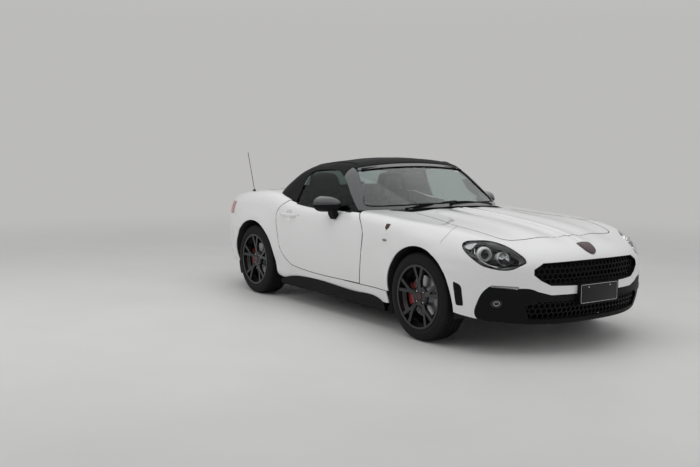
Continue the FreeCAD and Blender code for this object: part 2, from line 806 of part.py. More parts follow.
def door_sweep():
    """Room that the door's front edge sweeps round its hinge line, with clearance."""
    edge_y = spline([(z, y) for y, z in DOOR_FRONT])
    low, high = DOOR_FRONT[0][1], DOOR_FRONT[-1][1]
    rows = []
    for i in range(SWEEP_STEPS + 1):
        z = low + (high - low) * i / SWEEP_STEPS
        if edge_y(z) < HINGE_Y:
            reach = math.hypot(side_width(edge_y(z), z) - HINGE_X, edge_y(z) - HINGE_Y)
            rows.append((reach + HINGE_CLEAR, z))
    rows.insert(0, (rows[0][0], low - PANEL_GAP))
    edges = [Vector(HINGE_X, HINGE_Y, rows[0][1])]
    edges += [Vector(HINGE_X + radius, HINGE_Y, z) for radius, z in rows]
    edges.append(Vector(HINGE_X, HINGE_Y, rows[-1][1]))
    edges.append(edges[0])
    return turned(Part.Face(Part.makePolygon(edges)), (HINGE_X, HINGE_Y, 0), (0, 0, 1))


class Seams:
    """Room taken by each panel with half a gap round it, to cut from its neighbours."""

    def __init__(self):
        """Cuts out the room of every panel once."""
        self.hood = region("top", HOOD_OUTLINE, 600, 1000, HALF_GAP)
        self.cowl = region("top", COWL_OUTLINE, 700, 1000, HALF_GAP)
        self.bumper = region("top", BUMPER_OUTLINE, 0, 1000, SEAT_GAP)
        self.door = region("side", DOOR_OUTLINE, 500, 1000, HALF_GAP)
        self.cabin = region("top", CABIN_OUTLINE, 700, 1000)
        self.trunk = region("top", TRUNK_OUTLINE, TRUNK_LOW_Z - HALF_GAP, 1000, HALF_GAP)
        self.rear_bumper = region("side", REAR_BUMPER_OUTLINE, -10, 1000, SEAT_GAP)
        self.headlamp = region("front", HEADLAMP_OUTLINE, -1990, -1400, 0.3)
        self.tail_lamp = region("front", TAIL_LAMP_OUTLINE, TAIL_LAMP_FRONT_Y, 2100, SEAT_GAP)
        self.marker = region("front", MARKER_OUTLINE, -2100, -1500, SEAT_GAP)
        self.apron = region("front", APRON_OUTLINE, -2100, -1600, SEAT_GAP)
        self.grille = region("front", GRILLE_OUTLINE, -2100, -1700)
        self.intake = region("front", INTAKE_OUTLINE, -2100, -1700)
        self.diffuser = region("front", DIFFUSER_OUTLINE, 1700, 2100, SEAT_GAP)
        self.skirt = region("side", SKIRT_OUTLINE, 700, 1000, SEAT_GAP)
        self.pipe = rod((EXHAUST_X, 1700, EXHAUST_Z), (EXHAUST_X, 2100, EXHAUST_Z), EXHAUST_RADIUS + 6)
        self.front_arch = wheel_arch(FRONT_AXLE_Y, ARCH_RADIUS)
        self.rear_arch = wheel_arch(REAR_AXLE_Y, ARCH_RADIUS)


def left_hinge_arm(profile, x, axis):
    """Flat hinge arm seen from the side, with a ring round its pin."""
    arm = column("side", polygon("side", profile), x - LID_ARM / 2, x + LID_ARM / 2)
    y, z = axis
    arm = arm.fuse(rod((x - LID_ARM / 2, y, z), (x + LID_ARM / 2, y, z), LID_RING))
    return arm.cut(rod((x - 50, y, z), (x + 50, y, z), LID_PIN + PIN_CLEAR))


def hood(forms, seams):
    """Hood panel with its two gooseneck hinge arms."""
    panel = forms.skin.common(region("top", HOOD_OUTLINE, 600, 1000, -HALF_GAP))
    y, z = HOOD_HINGE
    under = top_height(HOOD_HINGE_X, y - 80) - SKIN / 2
    profile = [(y + 8, z), (y + 5, z - 22), (y - 64, z - 24), (y - 96, z + 4), (y - 110, under - 4)]
    profile += [(y - 78, under), (y - 80, z + 8), (y - 58, z - 13), (y - 8, z - 13), (y - 8, z)]
    return both_sides(joined([panel, left_hinge_arm(profile, HOOD_HINGE_X, HOOD_HINGE)]))


def cowl_panel(forms, seams):
    """Sunk panel between the hood and the screen, which the hood's rear edge passes over."""
    foot = COWL_SINK + COWL_SHEET
    sheet = skin_between(body_room, forms.rows, COWL_SINK, foot)
    panel = sheet.common(region("top", COWL_OUTLINE, 700, 1000, -HALF_GAP))
    step = skin_between(body_room, forms.rows, 0, foot).common(block(-1, 1200, COWL_STEP_Y, -300, 700, 1000))
    return both_sides(joined([panel, step.common(region("top", COWL_OUTLINE, 700, 1000, -HALF_GAP))]))


def front_bumper(forms, seams):
    """Painted nose between the hood, the wheel arches and the black apron."""
    panel = forms.skin.common(region("top", BUMPER_OUTLINE, 0, 1000))
    for opening in (seams.hood, seams.front_arch, seams.grille, seams.headlamp, seams.apron, seams.marker):
        panel = panel.cut(opening)
    return both_sides(panel)


def front_apron(forms, seams):
    """Black lower apron, and the honeycomb mesh of its intake."""
    panel = forms.skin.common(region("front", APRON_OUTLINE, -2100, -1500))
    panel = panel.cut(seams.intake).cut(seams.front_arch).cut(seams.marker)
    return both_sides(panel), both_sides(mesh_insert(forms.rows, INTAKE_OUTLINE, INTAKE_SINK, -2100, -1600))


def upper_grille(forms):
    """Honeycomb grille between the headlamps."""
    return both_sides(mesh_insert(forms.rows, GRILLE_OUTLINE, GRILLE_SINK, -2100, -1800))


def front_fenders(forms, seams):
    """Front fenders, cleared for the swing of the doors' front edges."""
    panel = forms.skin.common(region("side", FENDER_OUTLINE, 300, 1000, -HALF_GAP))
    for opening in (seams.bumper, seams.hood, seams.cowl, seams.cabin, seams.front_arch, door_sweep()):
        panel = panel.cut(opening)
    return both_sides(largest(panel))


def rear_body(forms, seams):
    """Rear quarters, deck and sills as one skin with its openings."""
    keep = block(-10, 1200, -775, 2300, 0, 1200).cut(block(-10, 1200, -900, -200, SILL_TOP_Z, 1200))
    panel = forms.skin.common(keep)
    openings = (seams.door, seams.cabin, seams.trunk, seams.rear_bumper, seams.tail_lamp, seams.rear_arch)
    for opening in openings + (seams.front_arch, seams.skirt):
        panel = panel.cut(opening)
    return both_sides(panel)


def rear_bumper(forms, seams):
    """Painted tail below the trunk lid and the lamps."""
    panel = forms.skin.common(region("side", REAR_BUMPER_OUTLINE, -10, 1000))
    for opening in (seams.trunk, seams.tail_lamp, seams.rear_arch, seams.diffuser, seams.pipe):
        panel = panel.cut(opening)
    return both_sides(panel)


def rear_diffuser(forms, seams):
    """Black panel between the exhaust tips."""
    panel = forms.skin.common(region("front", DIFFUSER_OUTLINE, 1700, 2100))
    return both_sides(panel.cut(seams.pipe))


def trunk_lid(forms, seams):
    """Trunk lid with its two gooseneck hinge arms."""
    panel = forms.skin.common(region("top", TRUNK_OUTLINE, TRUNK_LOW_Z + HALF_GAP, 1000, -HALF_GAP - 2))
    panel = largest(panel.cut(seams.tail_lamp))
    y, z = TRUNK_HINGE
    under = top_height(TRUNK_HINGE_X, y + 100) - SKIN / 2
    profile = [(y - 8, z), (y - 8, z - 90), (y + 4, z - 103)]
    profile += [(y + 104, z - 103), (y + 120, z - 88), (y + 124, under)]
    profile += [(y + 102, under), (y + 102, z - 85), (y + 12, z - 85), (y + 8, z - 78), (y + 8, z)]
    return both_sides(joined([panel, left_hinge_arm(profile, TRUNK_HINGE_X, TRUNK_HINGE)]))


def tail_lamps(forms, seams):
    """Tail lamp lenses that continue the skin of the rear quarters."""
    lens = forms.skin.common(region("front", TAIL_LAMP_OUTLINE, TAIL_LAMP_FRONT_Y + SEAT_GAP, 2100))
    return both_sides(lens)


def headlamps(forms):
    """Lamp trays that follow the wing under their clear covers."""
    outer = skin_between(body_room, forms.rows, LAMP_WALL, LAMP_DEPTH)
    inner = skin_between(body_room, forms.rows, 0, LAMP_DEPTH - TRAY_WALL)
    tray = outer.common(region("front", HEADLAMP_OUTLINE, -1990, -1400))
    tray = tray.cut(inner.common(region("front", HEADLAMP_OUTLINE, -1990, -1400, -TRAY_WALL)))
    return both_sides(tray)


def lamp_lenses(forms):
    """Clear covers of the headlamps and the marker strips below them."""
    cover = forms.lamp_cover.common(region("front", HEADLAMP_OUTLINE, -1990, -1400))
    marker = forms.skin.common(region("front", MARKER_OUTLINE, -2100, -1500))
    return Part.makeCompound([cover, mirrored(cover), marker, mirrored(marker)])


# Doors, glass and fabric top

DOOR_CORE = [
    [(-392, 335), (-420, 420), (-446, 562), (-438, 690), (-372, 778)],
    [(-372, 778), (-300, 812)],
    [(-300, 812), (0, 815)],
    [(0, 815), (640, 822)],
    [(640, 822), (700, 790), (735, 745), (728, 660), (700, 563), (672, 478), (628, 410), (552, 362)],
    [(552, 362), (356, 340), (-14, 335), (-392, 335)],
]


def oval(x, y, z, wide, high):
    """Upright oval wire across the car, wide along X and high along Z."""
    if wide < high:
        edge = Part.Ellipse(Vector(x, y, z + high), Vector(x + wide, y, z), Vector(x, y, z))
    else:
        edge = Part.Ellipse(Vector(x + wide, y, z), Vector(x, y, z + high), Vector(x, y, z))
    return Part.Wire(edge.toShape())


HANDLE_Z = 750.0
HANDLE_SECTIONS = [(476, 830, 6, 8), (505, 851, 8, 12), (595, 862, 8.5, 13.5)]
HANDLE_SECTIONS += [(685, 857, 8, 12), (716, 834, 6, 8)]
HANDLE_CUP = (893.0, 592.0, 764.0)
HANDLE_CUP_RADIUS = 82.0


def left_handle():
    """Pull handle that bows out from the door over its finger cup."""
    return Part.makeLoft([oval(x, y, HANDLE_Z, wide, high) for y, x, wide, high in HANDLE_SECTIONS], True)


def left_door(forms):
    """Left door: outer panel, thick inner body and the two hinge rings."""
    panel = forms.skin.common(region("side", DOOR_OUTLINE, 500, 1000, -HALF_GAP))
    panel = panel.cut(block(0, 758, -500, 900, 780, 1000))
    core = forms.middle.common(region("side", DOOR_CORE, 500, 1000)).extrude(Vector(-DOOR_THICK, 0, 0))
    door = joined([panel, core])
    door = door.cut(forms.glass_slot.common(region("side", WINDOW_OUTLINE, 500, 1000, 2.0)))
    for z in HINGE_HEIGHTS:
        pocket = block(600, HINGE_X, -520, HINGE_Y + HINGE_ROOM, z - HINGE_ROOM_HALF, z + HINGE_ROOM_HALF)
        low = z - HINGE_ROOM_HALF
        high = z + HINGE_ROOM_HALF
        ahead = block(HINGE_X - 1, HINGE_X + HINGE_ROOM, -520, HINGE_Y, low, high)
        round_room = rod((HINGE_X, HINGE_Y, low), (HINGE_X, HINGE_Y, high), HINGE_ROOM)
        door = door.cut(pocket).cut(ahead).cut(round_room)
        arm = block(HINGE_X - 9, HINGE_X + 9, HINGE_Y, HINGE_Y + 44, z - 18, z + 18)
        ring = rod((HINGE_X, HINGE_Y, z - 18), (HINGE_X, HINGE_Y, z + 18), HINGE_RING)
        door = joined([door, arm, ring])
        door = door.cut(rod((HINGE_X, HINGE_Y, z - 40), (HINGE_X, HINGE_Y, z + 40), HINGE_PIN + PIN_CLEAR))
    door = door.cut(Part.makeSphere(HANDLE_CUP_RADIUS, Vector(*HANDLE_CUP)))
    return joined([door, left_handle()])


def left_glass(forms):
    """Left side glass, down to its slot in the door."""
    pane = forms.glass.common(region("side", WINDOW_OUTLINE, 500, 1000))
    return pane.common(block(400, 1200, -900, 900, 774, 1300))


def windscreen_frame(forms):
    """Pillars, header and foot of the screen, shaped to the deck below."""
    frame = forms.frame.common(region("side", HEADER_OUTLINE, -50, 1000))
    frame = frame.cut(region("front", SCREEN_OUTLINE, -700, 200))
    return both_sides(largest(frame.cut(forms.below_deck).cut(forms.seat_skin)))


def windscreen(forms):
    """Curved windscreen, seated in its frame with a thin gap."""
    return both_sides(forms.glass.common(region("front", SCREEN_OUTLINE, -700, 200, -SEAT_GAP)))


def soft_top(forms):
    """Fabric top from the header to the deck, with its side and rear openings."""
    top = forms.fabric.common(block(-50, 1200, HEADER_Y + 0.5, 1300, 700, 1400))
    top = top.cut(region("side", WINDOW_OUTLINE, 300, 1000, 7.0))
    top = top.cut(region("front", REAR_WINDOW_OUTLINE, 700, 1300))
    return both_sides(largest(top.cut(forms.below_deck)))


def rear_window(forms):
    """Glass pane in the back of the fabric top."""
    pane = skin_between(upper_room, forms.upper_rows, REAR_WINDOW_SINK, REAR_WINDOW_SINK + GLASS)
    return both_sides(pane.common(region("front", REAR_WINDOW_OUTLINE, 700, 1300, -SEAT_GAP)))


# Wheels and brakes, for the left side with the wheel's middle plane at x = 0

WHEEL_OFFSET = 55.0
RIM_BARREL = 5.0
RIM_HALF = 101.0
SPOKES = 5
HUB_RADIUS = 74.0
DISC_RADIUS = 145.0
REAR_DISC_RADIUS = 140.0
DISC_THICK = 22.0
SPINDLE_RADIUS = 15.0
BOLT_CIRCLE = 100.0
BOLTS = 4


def ring_face(points):
    """Closed profile of (x, radius) points above the wheel's axis."""
    corners = [Vector(x, 0, radius) for x, radius in points]
    return Part.Face(Part.makePolygon(corners + corners[:1]))


def tyre():
    """Hollow tyre with a crowned tread and round shoulders."""
    half = TYRE_WIDTH / 2
    tread = half - 14
    foot = RIM_RADIUS + SEAT_GAP
    edge = Vector(tread, 0, TYRE_RADIUS - 2)
    widest = Vector(half, 0, 268)
    shoulder = Part.Arc(edge, Vector(half - 3, 0, TYRE_RADIUS - 20), widest).toShape()
    wall = Part.Arc(widest, Vector(half - 4, 0, 246), Vector(half - 12.5, 0, foot)).toShape()
    tread_line = Part.Arc(Vector(-tread, 0, TYRE_RADIUS - 2), Vector(0, 0, TYRE_RADIUS), edge).toShape()
    bead = half - 24
    corners = [(half - 12.5, foot), (bead, foot), (bead, 240), (bead + 8, 268), (tread - 4, 294)]
    inner = [Vector(x, 0, z) for x, z in corners] + [Vector(-x, 0, z) for x, z in corners[::-1]]
    edges = [tread_line, shoulder, wall]
    edges += [Part.makeLine(a, b) for a, b in zip(inner, inner[1:])]
    edges += [mirrored(shoulder), mirrored(wall)]
    wire = Part.Wire(Part.__sortEdges__(edges))
    return turned(Part.Face(wire), (0, 0, 0), (1, 0, 0))


def rim():
    """Cast wheel: barrel, hub and five split spokes."""
    seat = RIM_RADIUS
    side = [(RIM_HALF, seat + 9), (RIM_HALF - 7, seat + 9), (RIM_HALF - 9, seat), (70, seat - 2)]
    side += [(48, 196), (-40, 196), (-80, seat - 2), (-RIM_HALF + 9, seat)]
    side += [(-RIM_HALF + 7, seat + 9), (-RIM_HALF, seat + 9), (-RIM_HALF, seat - 6), (-84, seat - 10)]
    side += [(-40, 190), (44, 190), (68, seat - 9), (RIM_HALF, seat - 7)]
    wheel = turned(ring_face(side), (0, 0, 0), (1, 0, 0))
    hub = [(WHEEL_OFFSET, 16), (WHEEL_OFFSET, HUB_RADIUS), (74, HUB_RADIUS)]
    hub += [(82, 62), (82, 30), (76, 26), (76, 16)]
    parts = [turned(ring_face(hub), (0, 0, 0), (1, 0, 0))]
    for i in range(SPOKES):
        for tilt in (-1, 1):
            spoke = spoke_arm(tilt)
            spoke.rotate(Vector(0, 0, 0), Vector(1, 0, 0), 360.0 * i / SPOKES)
            parts.append(spoke)
    wheel = joined([wheel] + parts)
    for i in range(BOLTS):
        turn = 2 * math.pi * (i + 0.5) / BOLTS
        y = BOLT_CIRCLE / 2 * math.cos(turn)
        z = BOLT_CIRCLE / 2 * math.sin(turn)
        wheel = wheel.cut(rod((50, y, z), (90, y, z), 6.5))
        wheel = wheel.cut(rod((66, y, z), (90, y, z), 13))
    return wheel


def spoke_arm(side):
    """One arm of a split spoke: from the hub it runs together with its twin, then leans away."""
    inner = [(60, -13), (60, 15), (110, 17), (213, 56), (213, 30), (118, -2)]
    flat = [Vector(0, across * side, out) for out, across in inner]
    face = Part.Face(Part.makePolygon(flat + flat[:1]))
    arm = face.extrude(Vector(120, 0, 0))
    side_view = [(56, 56), (56, 80), (110, 90), (213, 98), (213, 76), (120, 66)]
    trim = [Vector(-200, 0, 0) + Vector(x + 200, -200, out) for out, x in side_view]
    trim = Part.Face(Part.makePolygon(trim + trim[:1])).extrude(Vector(0, 400, 0))
    return arm.common(trim).common(rod((-200, 0, 0), (200, 0, 0), RIM_RADIUS - 5))


def brake_disc(radius):
    """Vented disc with its hat and the hub flange behind the wheel."""
    back = WHEEL_OFFSET - 45
    profile = [
        (WHEEL_OFFSET, SPINDLE_RADIUS + PIN_CLEAR), (WHEEL_OFFSET, HUB_RADIUS),
        (back + DISC_THICK, HUB_RADIUS),
        (back + DISC_THICK, radius), (back, radius), (back, HUB_RADIUS - 12), (back + 36, HUB_RADIUS - 12),
        (back + 36, 32), (back - 16, 32), (back - 16, SPINDLE_RADIUS + PIN_CLEAR),
    ]
    disc = turned(ring_face(profile), (0, 0, 0), (1, 0, 0))
    middle = back + DISC_THICK / 2
    slot = [(middle - 3, radius - 22), (middle + 3, radius - 22)]
    slot += [(middle + 3, radius + 5), (middle - 3, radius + 5)]
    return disc.cut(turned(ring_face(slot), (0, 0, 0), (1, 0, 0)))


def caliper(radius):
    """Brake caliper over the rear edge of the disc, for a hub at x = 0."""
    back = WHEEL_OFFSET - 45
    face = back + DISC_THICK
    shell = [(back - 34, 82), (back - 34, radius + 14), (face + 12, radius + 14), (face + 12, 82)]
    room = [(back - 4, 60), (back - 4, radius + 4), (face + 2, radius + 4), (face + 2, 60)]
    body = turned(ring_face(shell), (0, 0, 0), (1, 0, 0), 58)
    body = body.cut(turned(ring_face(room), (0, 0, 0), (1, 0, 0), 58))
    body.rotate(Vector(0, 0, 0), Vector(1, 0, 0), -119)
    return body


# Running gear

KINGPIN_X = 712.0
TIE_ROD_END = 540.0
KINGPIN_RADIUS = 9.0
LOWER_JOINT_Z = 188.0
UPPER_JOINT_Z = 446.0
KNUCKLE_FOOT = 20.0


def left_knuckle():
    """Front upright with its spindle, caliper and steering arm, in car coordinates."""
    y = FRONT_AXLE_Y
    z = AXLE_Z
    low = LOWER_JOINT_Z - KNUCKLE_FOOT
    high = UPPER_JOINT_Z + KNUCKLE_FOOT
    post = block(KINGPIN_X - 20, KINGPIN_X + 16, y - 22, y + 22, low, high)
    boss = rod((KINGPIN_X - 20, y, z), (KINGPIN_X + 28, y, z), 48)
    spindle = rod((KINGPIN_X, y, z), (FRONT_WHEEL_X + WHEEL_OFFSET - 2, y, z), SPINDLE_RADIUS)
    arm = block(KINGPIN_X - 14, KINGPIN_X + 10, y - 110, y, z - 70, z - 50)
    arm = arm.fuse(rod((KINGPIN_X - 2, y - 110, z - 72), (KINGPIN_X - 2, y - 110, z - 48), 14))
    grip = caliper(DISC_RADIUS).translated(Vector(FRONT_WHEEL_X, y, z))
    bracket = block(KINGPIN_X, KINGPIN_X + 18, y, y + 118, z - 20, z + 40)
    knuckle = joined([post, boss, spindle, arm, bracket, grip])
    for joint_z in (LOWER_JOINT_Z, UPPER_JOINT_Z):
        bore = rod((KINGPIN_X, y, joint_z - 40), (KINGPIN_X, y, joint_z + 40), KINGPIN_RADIUS + PIN_CLEAR)
        knuckle = knuckle.cut(bore)
    return knuckle


def wishbone(outer, inner_x, y_half, z_in, radius):
    """Two-legged arm from a joint at its outer end to two bushes along the car."""
    legs = []
    for side in (-1, 1):
        inner = (inner_x, outer[1] + side * y_half, z_in)
        legs.append(rod(outer, inner, radius))
        legs.append(rod((inner_x, inner[1] - 24, z_in), (inner_x, inner[1] + 24, z_in), radius + 10))
    return legs


def front_suspension():
    """Front cross-member with its arms, spring legs and steering rack."""
    y = FRONT_AXLE_Y
    pieces = []
    low = LOWER_JOINT_Z - KNUCKLE_FOOT - 14
    high = UPPER_JOINT_Z + KNUCKLE_FOOT + 14
    lower = wishbone((KINGPIN_X, y, low), 330, 130, 180, 12)
    lower.append(rod((KINGPIN_X, y, low - 10), (KINGPIN_X, y, low + 13.7), 20))
    lower.append(rod((KINGPIN_X, y, low), (KINGPIN_X, y, LOWER_JOINT_Z + 10), KINGPIN_RADIUS))
    upper = wishbone((KINGPIN_X, y, high), 420, 90, 480, 10)
    upper.append(rod((KINGPIN_X, y, high - 13.7), (KINGPIN_X, y, high + 10), 18))
    upper.append(rod((KINGPIN_X, y, UPPER_JOINT_Z - 10), (KINGPIN_X, y, high), KINGPIN_RADIUS))
    cross = rod((560, y - 62, 170), (560, y + 62, 170), 12)
    spring = rod((566, y + 4, 170), (430, y + 4, 650), 24)
    seat = rod((560 - 130 * 0.36, y + 4, 205 + 435 * 0.36), (560 - 130 * 0.39, y + 4, 205 + 435 * 0.39), 62)
    top = rod((560 - 130 * 0.96, y + 4, 205 + 435 * 0.96), (430, y + 4, 640), 66)
    beam = block(-345, 345, y - 60, y + 60, 170, 215)
    legs = [block(300, 350, y - 170, y + 170, 165, 250), block(360, 420, y - 160, y + 160, 440, 505)]
    tower = block(360, 400, y - 80, y + 80, 455, 660)
    shelf = block(360, 500, y - 80, y + 80, 645, 660)
    side = joined(lower + upper + [cross, spring, seat, top] + legs + [tower, shelf])
    pieces = [side, mirrored(side), beam]
    body = joined(pieces)
    rack = rod((-420, y - 110, 236), (420, y - 110, 236), 24)
    struts = [block(-330, -290, y - 140, y - 50, 190, 236), block(290, 330, y - 140, y - 50, 190, 236)]
    rods = []
    for sign in (-1, 1):
        rods.append(rod((sign * 420, y - 110, 236), (sign * TIE_ROD_END, y - 110, 236), 9))
    return joined([body, rack] + struts + rods)


def rear_suspension():
    """Rear cross-members, arms, dampers, shafts, uprights and the final drive."""
    y = REAR_AXLE_Y
    z = AXLE_Z
    x = REAR_WHEEL_X
    upright = block(x - 70, x - 40, y - 30, y + 30, z - 130, z + 130)
    boss = rod((x - 72, y, z), (x - 14, y, z), 46)
    spindle = rod((x - 40, y, z), (x + WHEEL_OFFSET - 2, y, z), SPINDLE_RADIUS)
    shaft = rod((x - 70, y, z), (110, y, z - 8), 14)
    joint_outer = rod((x - 120, y, z), (x - 70, y, z), 38)
    joint_inner = rod((110, y, z - 8), (170, y, z - 8), 42)
    arms = [
        rod((x - 55, y - 20, z - 115), (300, y - 120, 190), 13),
        rod((x - 55, y + 20, z - 115), (300, y + 100, 190), 15),
        rod((x - 55, y - 20, z + 100), (380, y - 90, 350), 10),
        rod((x - 55, y + 20, z + 100), (380, y + 90, 350), 10),
        rod((x - 55, y - 10, z - 60), (420, y - 420, 230), 12),
    ]
    rail = block(290, 400, y - 200, y + 200, 165, 215).fuse(block(360, 400, y - 130, y + 130, 200, 399.7))
    damper = rod((x - 130, y + 70, 200), (x - 170, y + 70, 687.5), 22)
    link = rod((x - 140, y + 40, 200), (x - 130, y + 80, 210), 16)
    grip = caliper(REAR_DISC_RADIUS).translated(Vector(x, y, z))
    bracket = block(x - 58, x - 18, y, y + 118, z - 20, z + 40)
    hub = [upright, boss, spindle, shaft, joint_outer, joint_inner, grip, bracket]
    side = joined(hub + [rail, damper, link] + arms)
    beam = block(-300, 300, y + 110, y + 170, 170, 212.7).fuse(block(-300, 300, y - 190, y - 130, 170, 212.7))
    casing = block(-112, 112, y - 120, y + 130, 200, 400)
    return joined([side, mirrored(side), beam, casing])


def powertrain():
    """Plain engine block with the gearbox, the tube to the rear axle and the sump."""
    y = FRONT_AXLE_Y
    engine = block(-250, 250, y + 20, y + 560, 230, 690)
    sump = block(-170, 170, y + 80, y + 500, 160, 231)
    gearbox = Part.makeCone(120, 80, 640, Vector(0, y + 560, 295), Vector(0, 1, 0))
    tube = rod((0, y + 1190, 295), (0, REAR_AXLE_Y - 120.3, 300), 34)
    return joined([engine, sump, gearbox, tube])


def exhaust():
    """Pipe under the floor, a silencer across the tail and a tip on each side."""
    y = REAR_AXLE_Y
    route = [(95, FRONT_AXLE_Y + 700, 190), (95, y - 370, 190), (205, y - 220, 240), (205, y + 430, 240)]
    pipes = [rod(a, b, 27) for a, b in zip(route, route[1:])]
    pipes += [Part.makeSphere(27, Vector(*point)) for point in route[1:3]]
    can = Part.makeBox(600, 230, 140, Vector(-300, y + 420, 180))
    long_edges = [edge for edge in can.Edges if abs(edge.tangentAt(edge.FirstParameter).x) > 0.9]
    can = can.makeFillet(60, long_edges)
    pieces = pipes + [can]
    for sign in (-1, 1):
        neck = rod((sign * 270, y + 590, EXHAUST_Z), (sign * EXHAUST_X, y + 690, EXHAUST_Z), 24)
        pipe_x = sign * EXHAUST_X
        tip = rod((pipe_x, y + 680, EXHAUST_Z), (pipe_x, y + 862, EXHAUST_Z), EXHAUST_RADIUS)
        inside = EXHAUST_RADIUS - EXHAUST_WALL
        bore = rod((pipe_x, y + 720, EXHAUST_Z), (pipe_x, y + 900, EXHAUST_Z), inside)
        pieces += [neck, tip.cut(bore)]
    return joined(pieces)


# Floor, cabin and small pieces

def floor_tub():
    """Cabin floor, sills, tunnel, bulkheads and hinge posts as one shell of sheet."""
    pieces = [
        block(-690, 690, -470, 690, 150, 160),
        block(-690, 690, -520, -470, 150, 800),
        block(-640, 640, 690, 720, 150, 820),
        block(-640, 640, 700, 1085, 812, 822),
    ]
    tunnel = block(-140, 140, -520, 700, 150, 430).cut(block(-130, 130, -600, 800, 100, 420))
    hinges = hinge_mounts()
    for side in (1, -1):
        for x0, x1, y0, y1, z0, z1 in (
            (660, 769.7, -700, 720, 165, 318),
            (300, 345, -520, 720, 120, 152),
            (640, 660, -520, -470, 150, 820),
        ):
            pieces.append(block(*sorted((side * x0, side * x1)), y0, y1, z0, z1))
    sweep = door_sweep()
    whole = joined(pieces).cut(block(-130, 130, -700, 900, 100, 420)).cut(sweep).cut(mirrored(sweep))
    return joined([whole, tunnel, hinges, mirrored(hinges)])


def trunk_tub():
    """Trunk floor, its step, wheel-house walls, rear rails and lid hinge posts."""
    pieces = [
        block(-545, 545, 720 + SEAT_GAP, 1560, 400, 412),
        block(-430, 430, 1560, 1855, 330, 342),
        block(-545, 545, 1560, 1572, 331, 412),
        block(-480, 480, 1840, 1855, 331, 700),
    ]
    for side in (1, -1):
        for x0, x1, y0, y1, z0, z1 in (
            (400, 470, 720 + SEAT_GAP, 1850, 412, 470),
            (531, 545, 720 + SEAT_GAP, 1560, 400, 800),
            (540, 625, REAR_AXLE_Y + 30, REAR_AXLE_Y + 110, 690, 704),
        ):
            pieces.append(block(*sorted((side * x0, side * x1)), y0, y1, z0, z1))
    return joined(pieces).cut(block(-130, 130, 700, 900, 390, 420))


def front_rails():
    """Two long rails and the bumper beam ahead of the cabin."""
    pieces = [block(-560, 560, -1885, -1850, 360, 460)]
    for side in (1, -1):
        pieces.append(block(*sorted((side * 400, side * 460)), -1850, -520 - SEAT_GAP, 380, 440))
    return joined(pieces)


def hinge_mounts():
    """Left posts, brackets and pins that carry the door, the hood and the trunk lid."""
    pieces = [block(636, 672, -520, -400, 150, 800)]
    for z in HINGE_HEIGHTS:
        pieces.append(rod((HINGE_X, HINGE_Y, z - 30), (HINGE_X, HINGE_Y, z + 30), HINGE_PIN))
        for low, high in ((z - 30, z - 18.5), (z + 18.5, z + 30)):
            pieces.append(block(660, HINGE_X, HINGE_Y - 12, HINGE_Y + 12, low, high))
            pieces.append(block(644, 690, -430, HINGE_Y + 12, low, high))
            pieces.append(rod((HINGE_X, HINGE_Y, low), (HINGE_X, HINGE_Y, high), 12))
    y, z = HOOD_HINGE
    inner = HOOD_HINGE_X + LID_ARM / 2 + 1
    pieces.append(rod((HOOD_HINGE_X - LID_ARM, y, z), (inner + 16, y, z), LID_PIN))
    pieces.append(block(inner, inner + 16, y - 12, -500, z - 30, z + 10))
    pieces.append(block(inner, inner + 16, -515, -480, 780, z + 10))
    y, z = TRUNK_HINGE
    inner = TRUNK_HINGE_X + LID_ARM / 2 + 1
    pieces.append(rod((TRUNK_HINGE_X - LID_ARM, y, z), (inner + 16, y, z), LID_PIN))
    pieces.append(block(inner, inner + 16, y - 100, y + 12, z - 85, z + 10))
    return joined(pieces)


def seat(x):
    """Bucket seat: cushion with side rolls, back, head rest and runners."""
    cushion = block(x - 180, x + 180, -30, 440, 215, 300)
    rolls = [block(x - 226, x - 175, -20, 430, 215, 335), block(x + 175, x + 226, -20, 430, 215, 335)]
    back = column("side", polygon("side", [(400, 235), (480, 225), (640, 800), (560, 815)]), x - 200, x + 200)
    wing = column("side", polygon("side", [(370, 260), (470, 240), (600, 700), (500, 700)]), x - 226, x - 180)
    wings = wing.fuse(wing.translated(Vector(406, 0, 0)))
    pad = [(560, 800), (650, 790), (672, 930), (612, 945), (580, 930)]
    head = column("side", polygon("side", pad), x - 120, x + 120)
    runners = [block(x - 200, x - 160, 0, 420, 160, 216), block(x + 160, x + 200, 0, 420, 160, 216)]
    return joined([cushion, back, wings, head] + rolls + runners)


WHEEL_CENTRE = (-370.0, -62.0, 690.0)
STEERING_RADIUS = 180.0
STEERING_RAKE = 24.0
HUB_BACK = 22.0


def dashboard():
    """Dashboard across the cabin with the middle console and the steering column."""
    profile = [(-470, 560), (-470, 780), (-420, 806), (-300, 812)]
    profile += [(-218, 776), (-205, 700), (-262, 600), (-330, 560)]
    board = column("side", polygon("side", profile), -635, 635)
    middle = [(-330, 431), (-330, 600), (-262, 600), (-180, 520), (400, 500), (400, 431)]
    console = column("side", polygon("side", middle), -95, 95)
    rake = math.radians(STEERING_RAKE)
    x, y, z = WHEEL_CENTRE
    near = HUB_BACK + SEAT_GAP
    end = (x, y - near * math.cos(rake), z - near * math.sin(rake))
    start = (x, y - 300 * math.cos(rake), z - 300 * math.sin(rake))
    return joined([board, console, rod(start, end, 40)])


def steering_wheel():
    """Rim, hub and three spokes, leaned back like the column."""
    grip = Part.makeCircle(15, Vector(STEERING_RADIUS, 0, 0), Vector(0, 0, 1))
    loop = turned(Part.Face(Part.Wire(grip)), (0, 0, 0), (0, 1, 0))
    hub = rod((0, -HUB_BACK, 0), (0, 12, 0), 62)
    arms = [block(-172, 172, -8, 6, -18, 18), block(-20, 20, -8, 6, -172, 0)]
    wheel = joined([loop, hub] + arms)
    wheel.rotate(Vector(0, 0, 0), Vector(1, 0, 0), STEERING_RAKE)
    wheel.translate(Vector(*WHEEL_CENTRE))
    return wheel


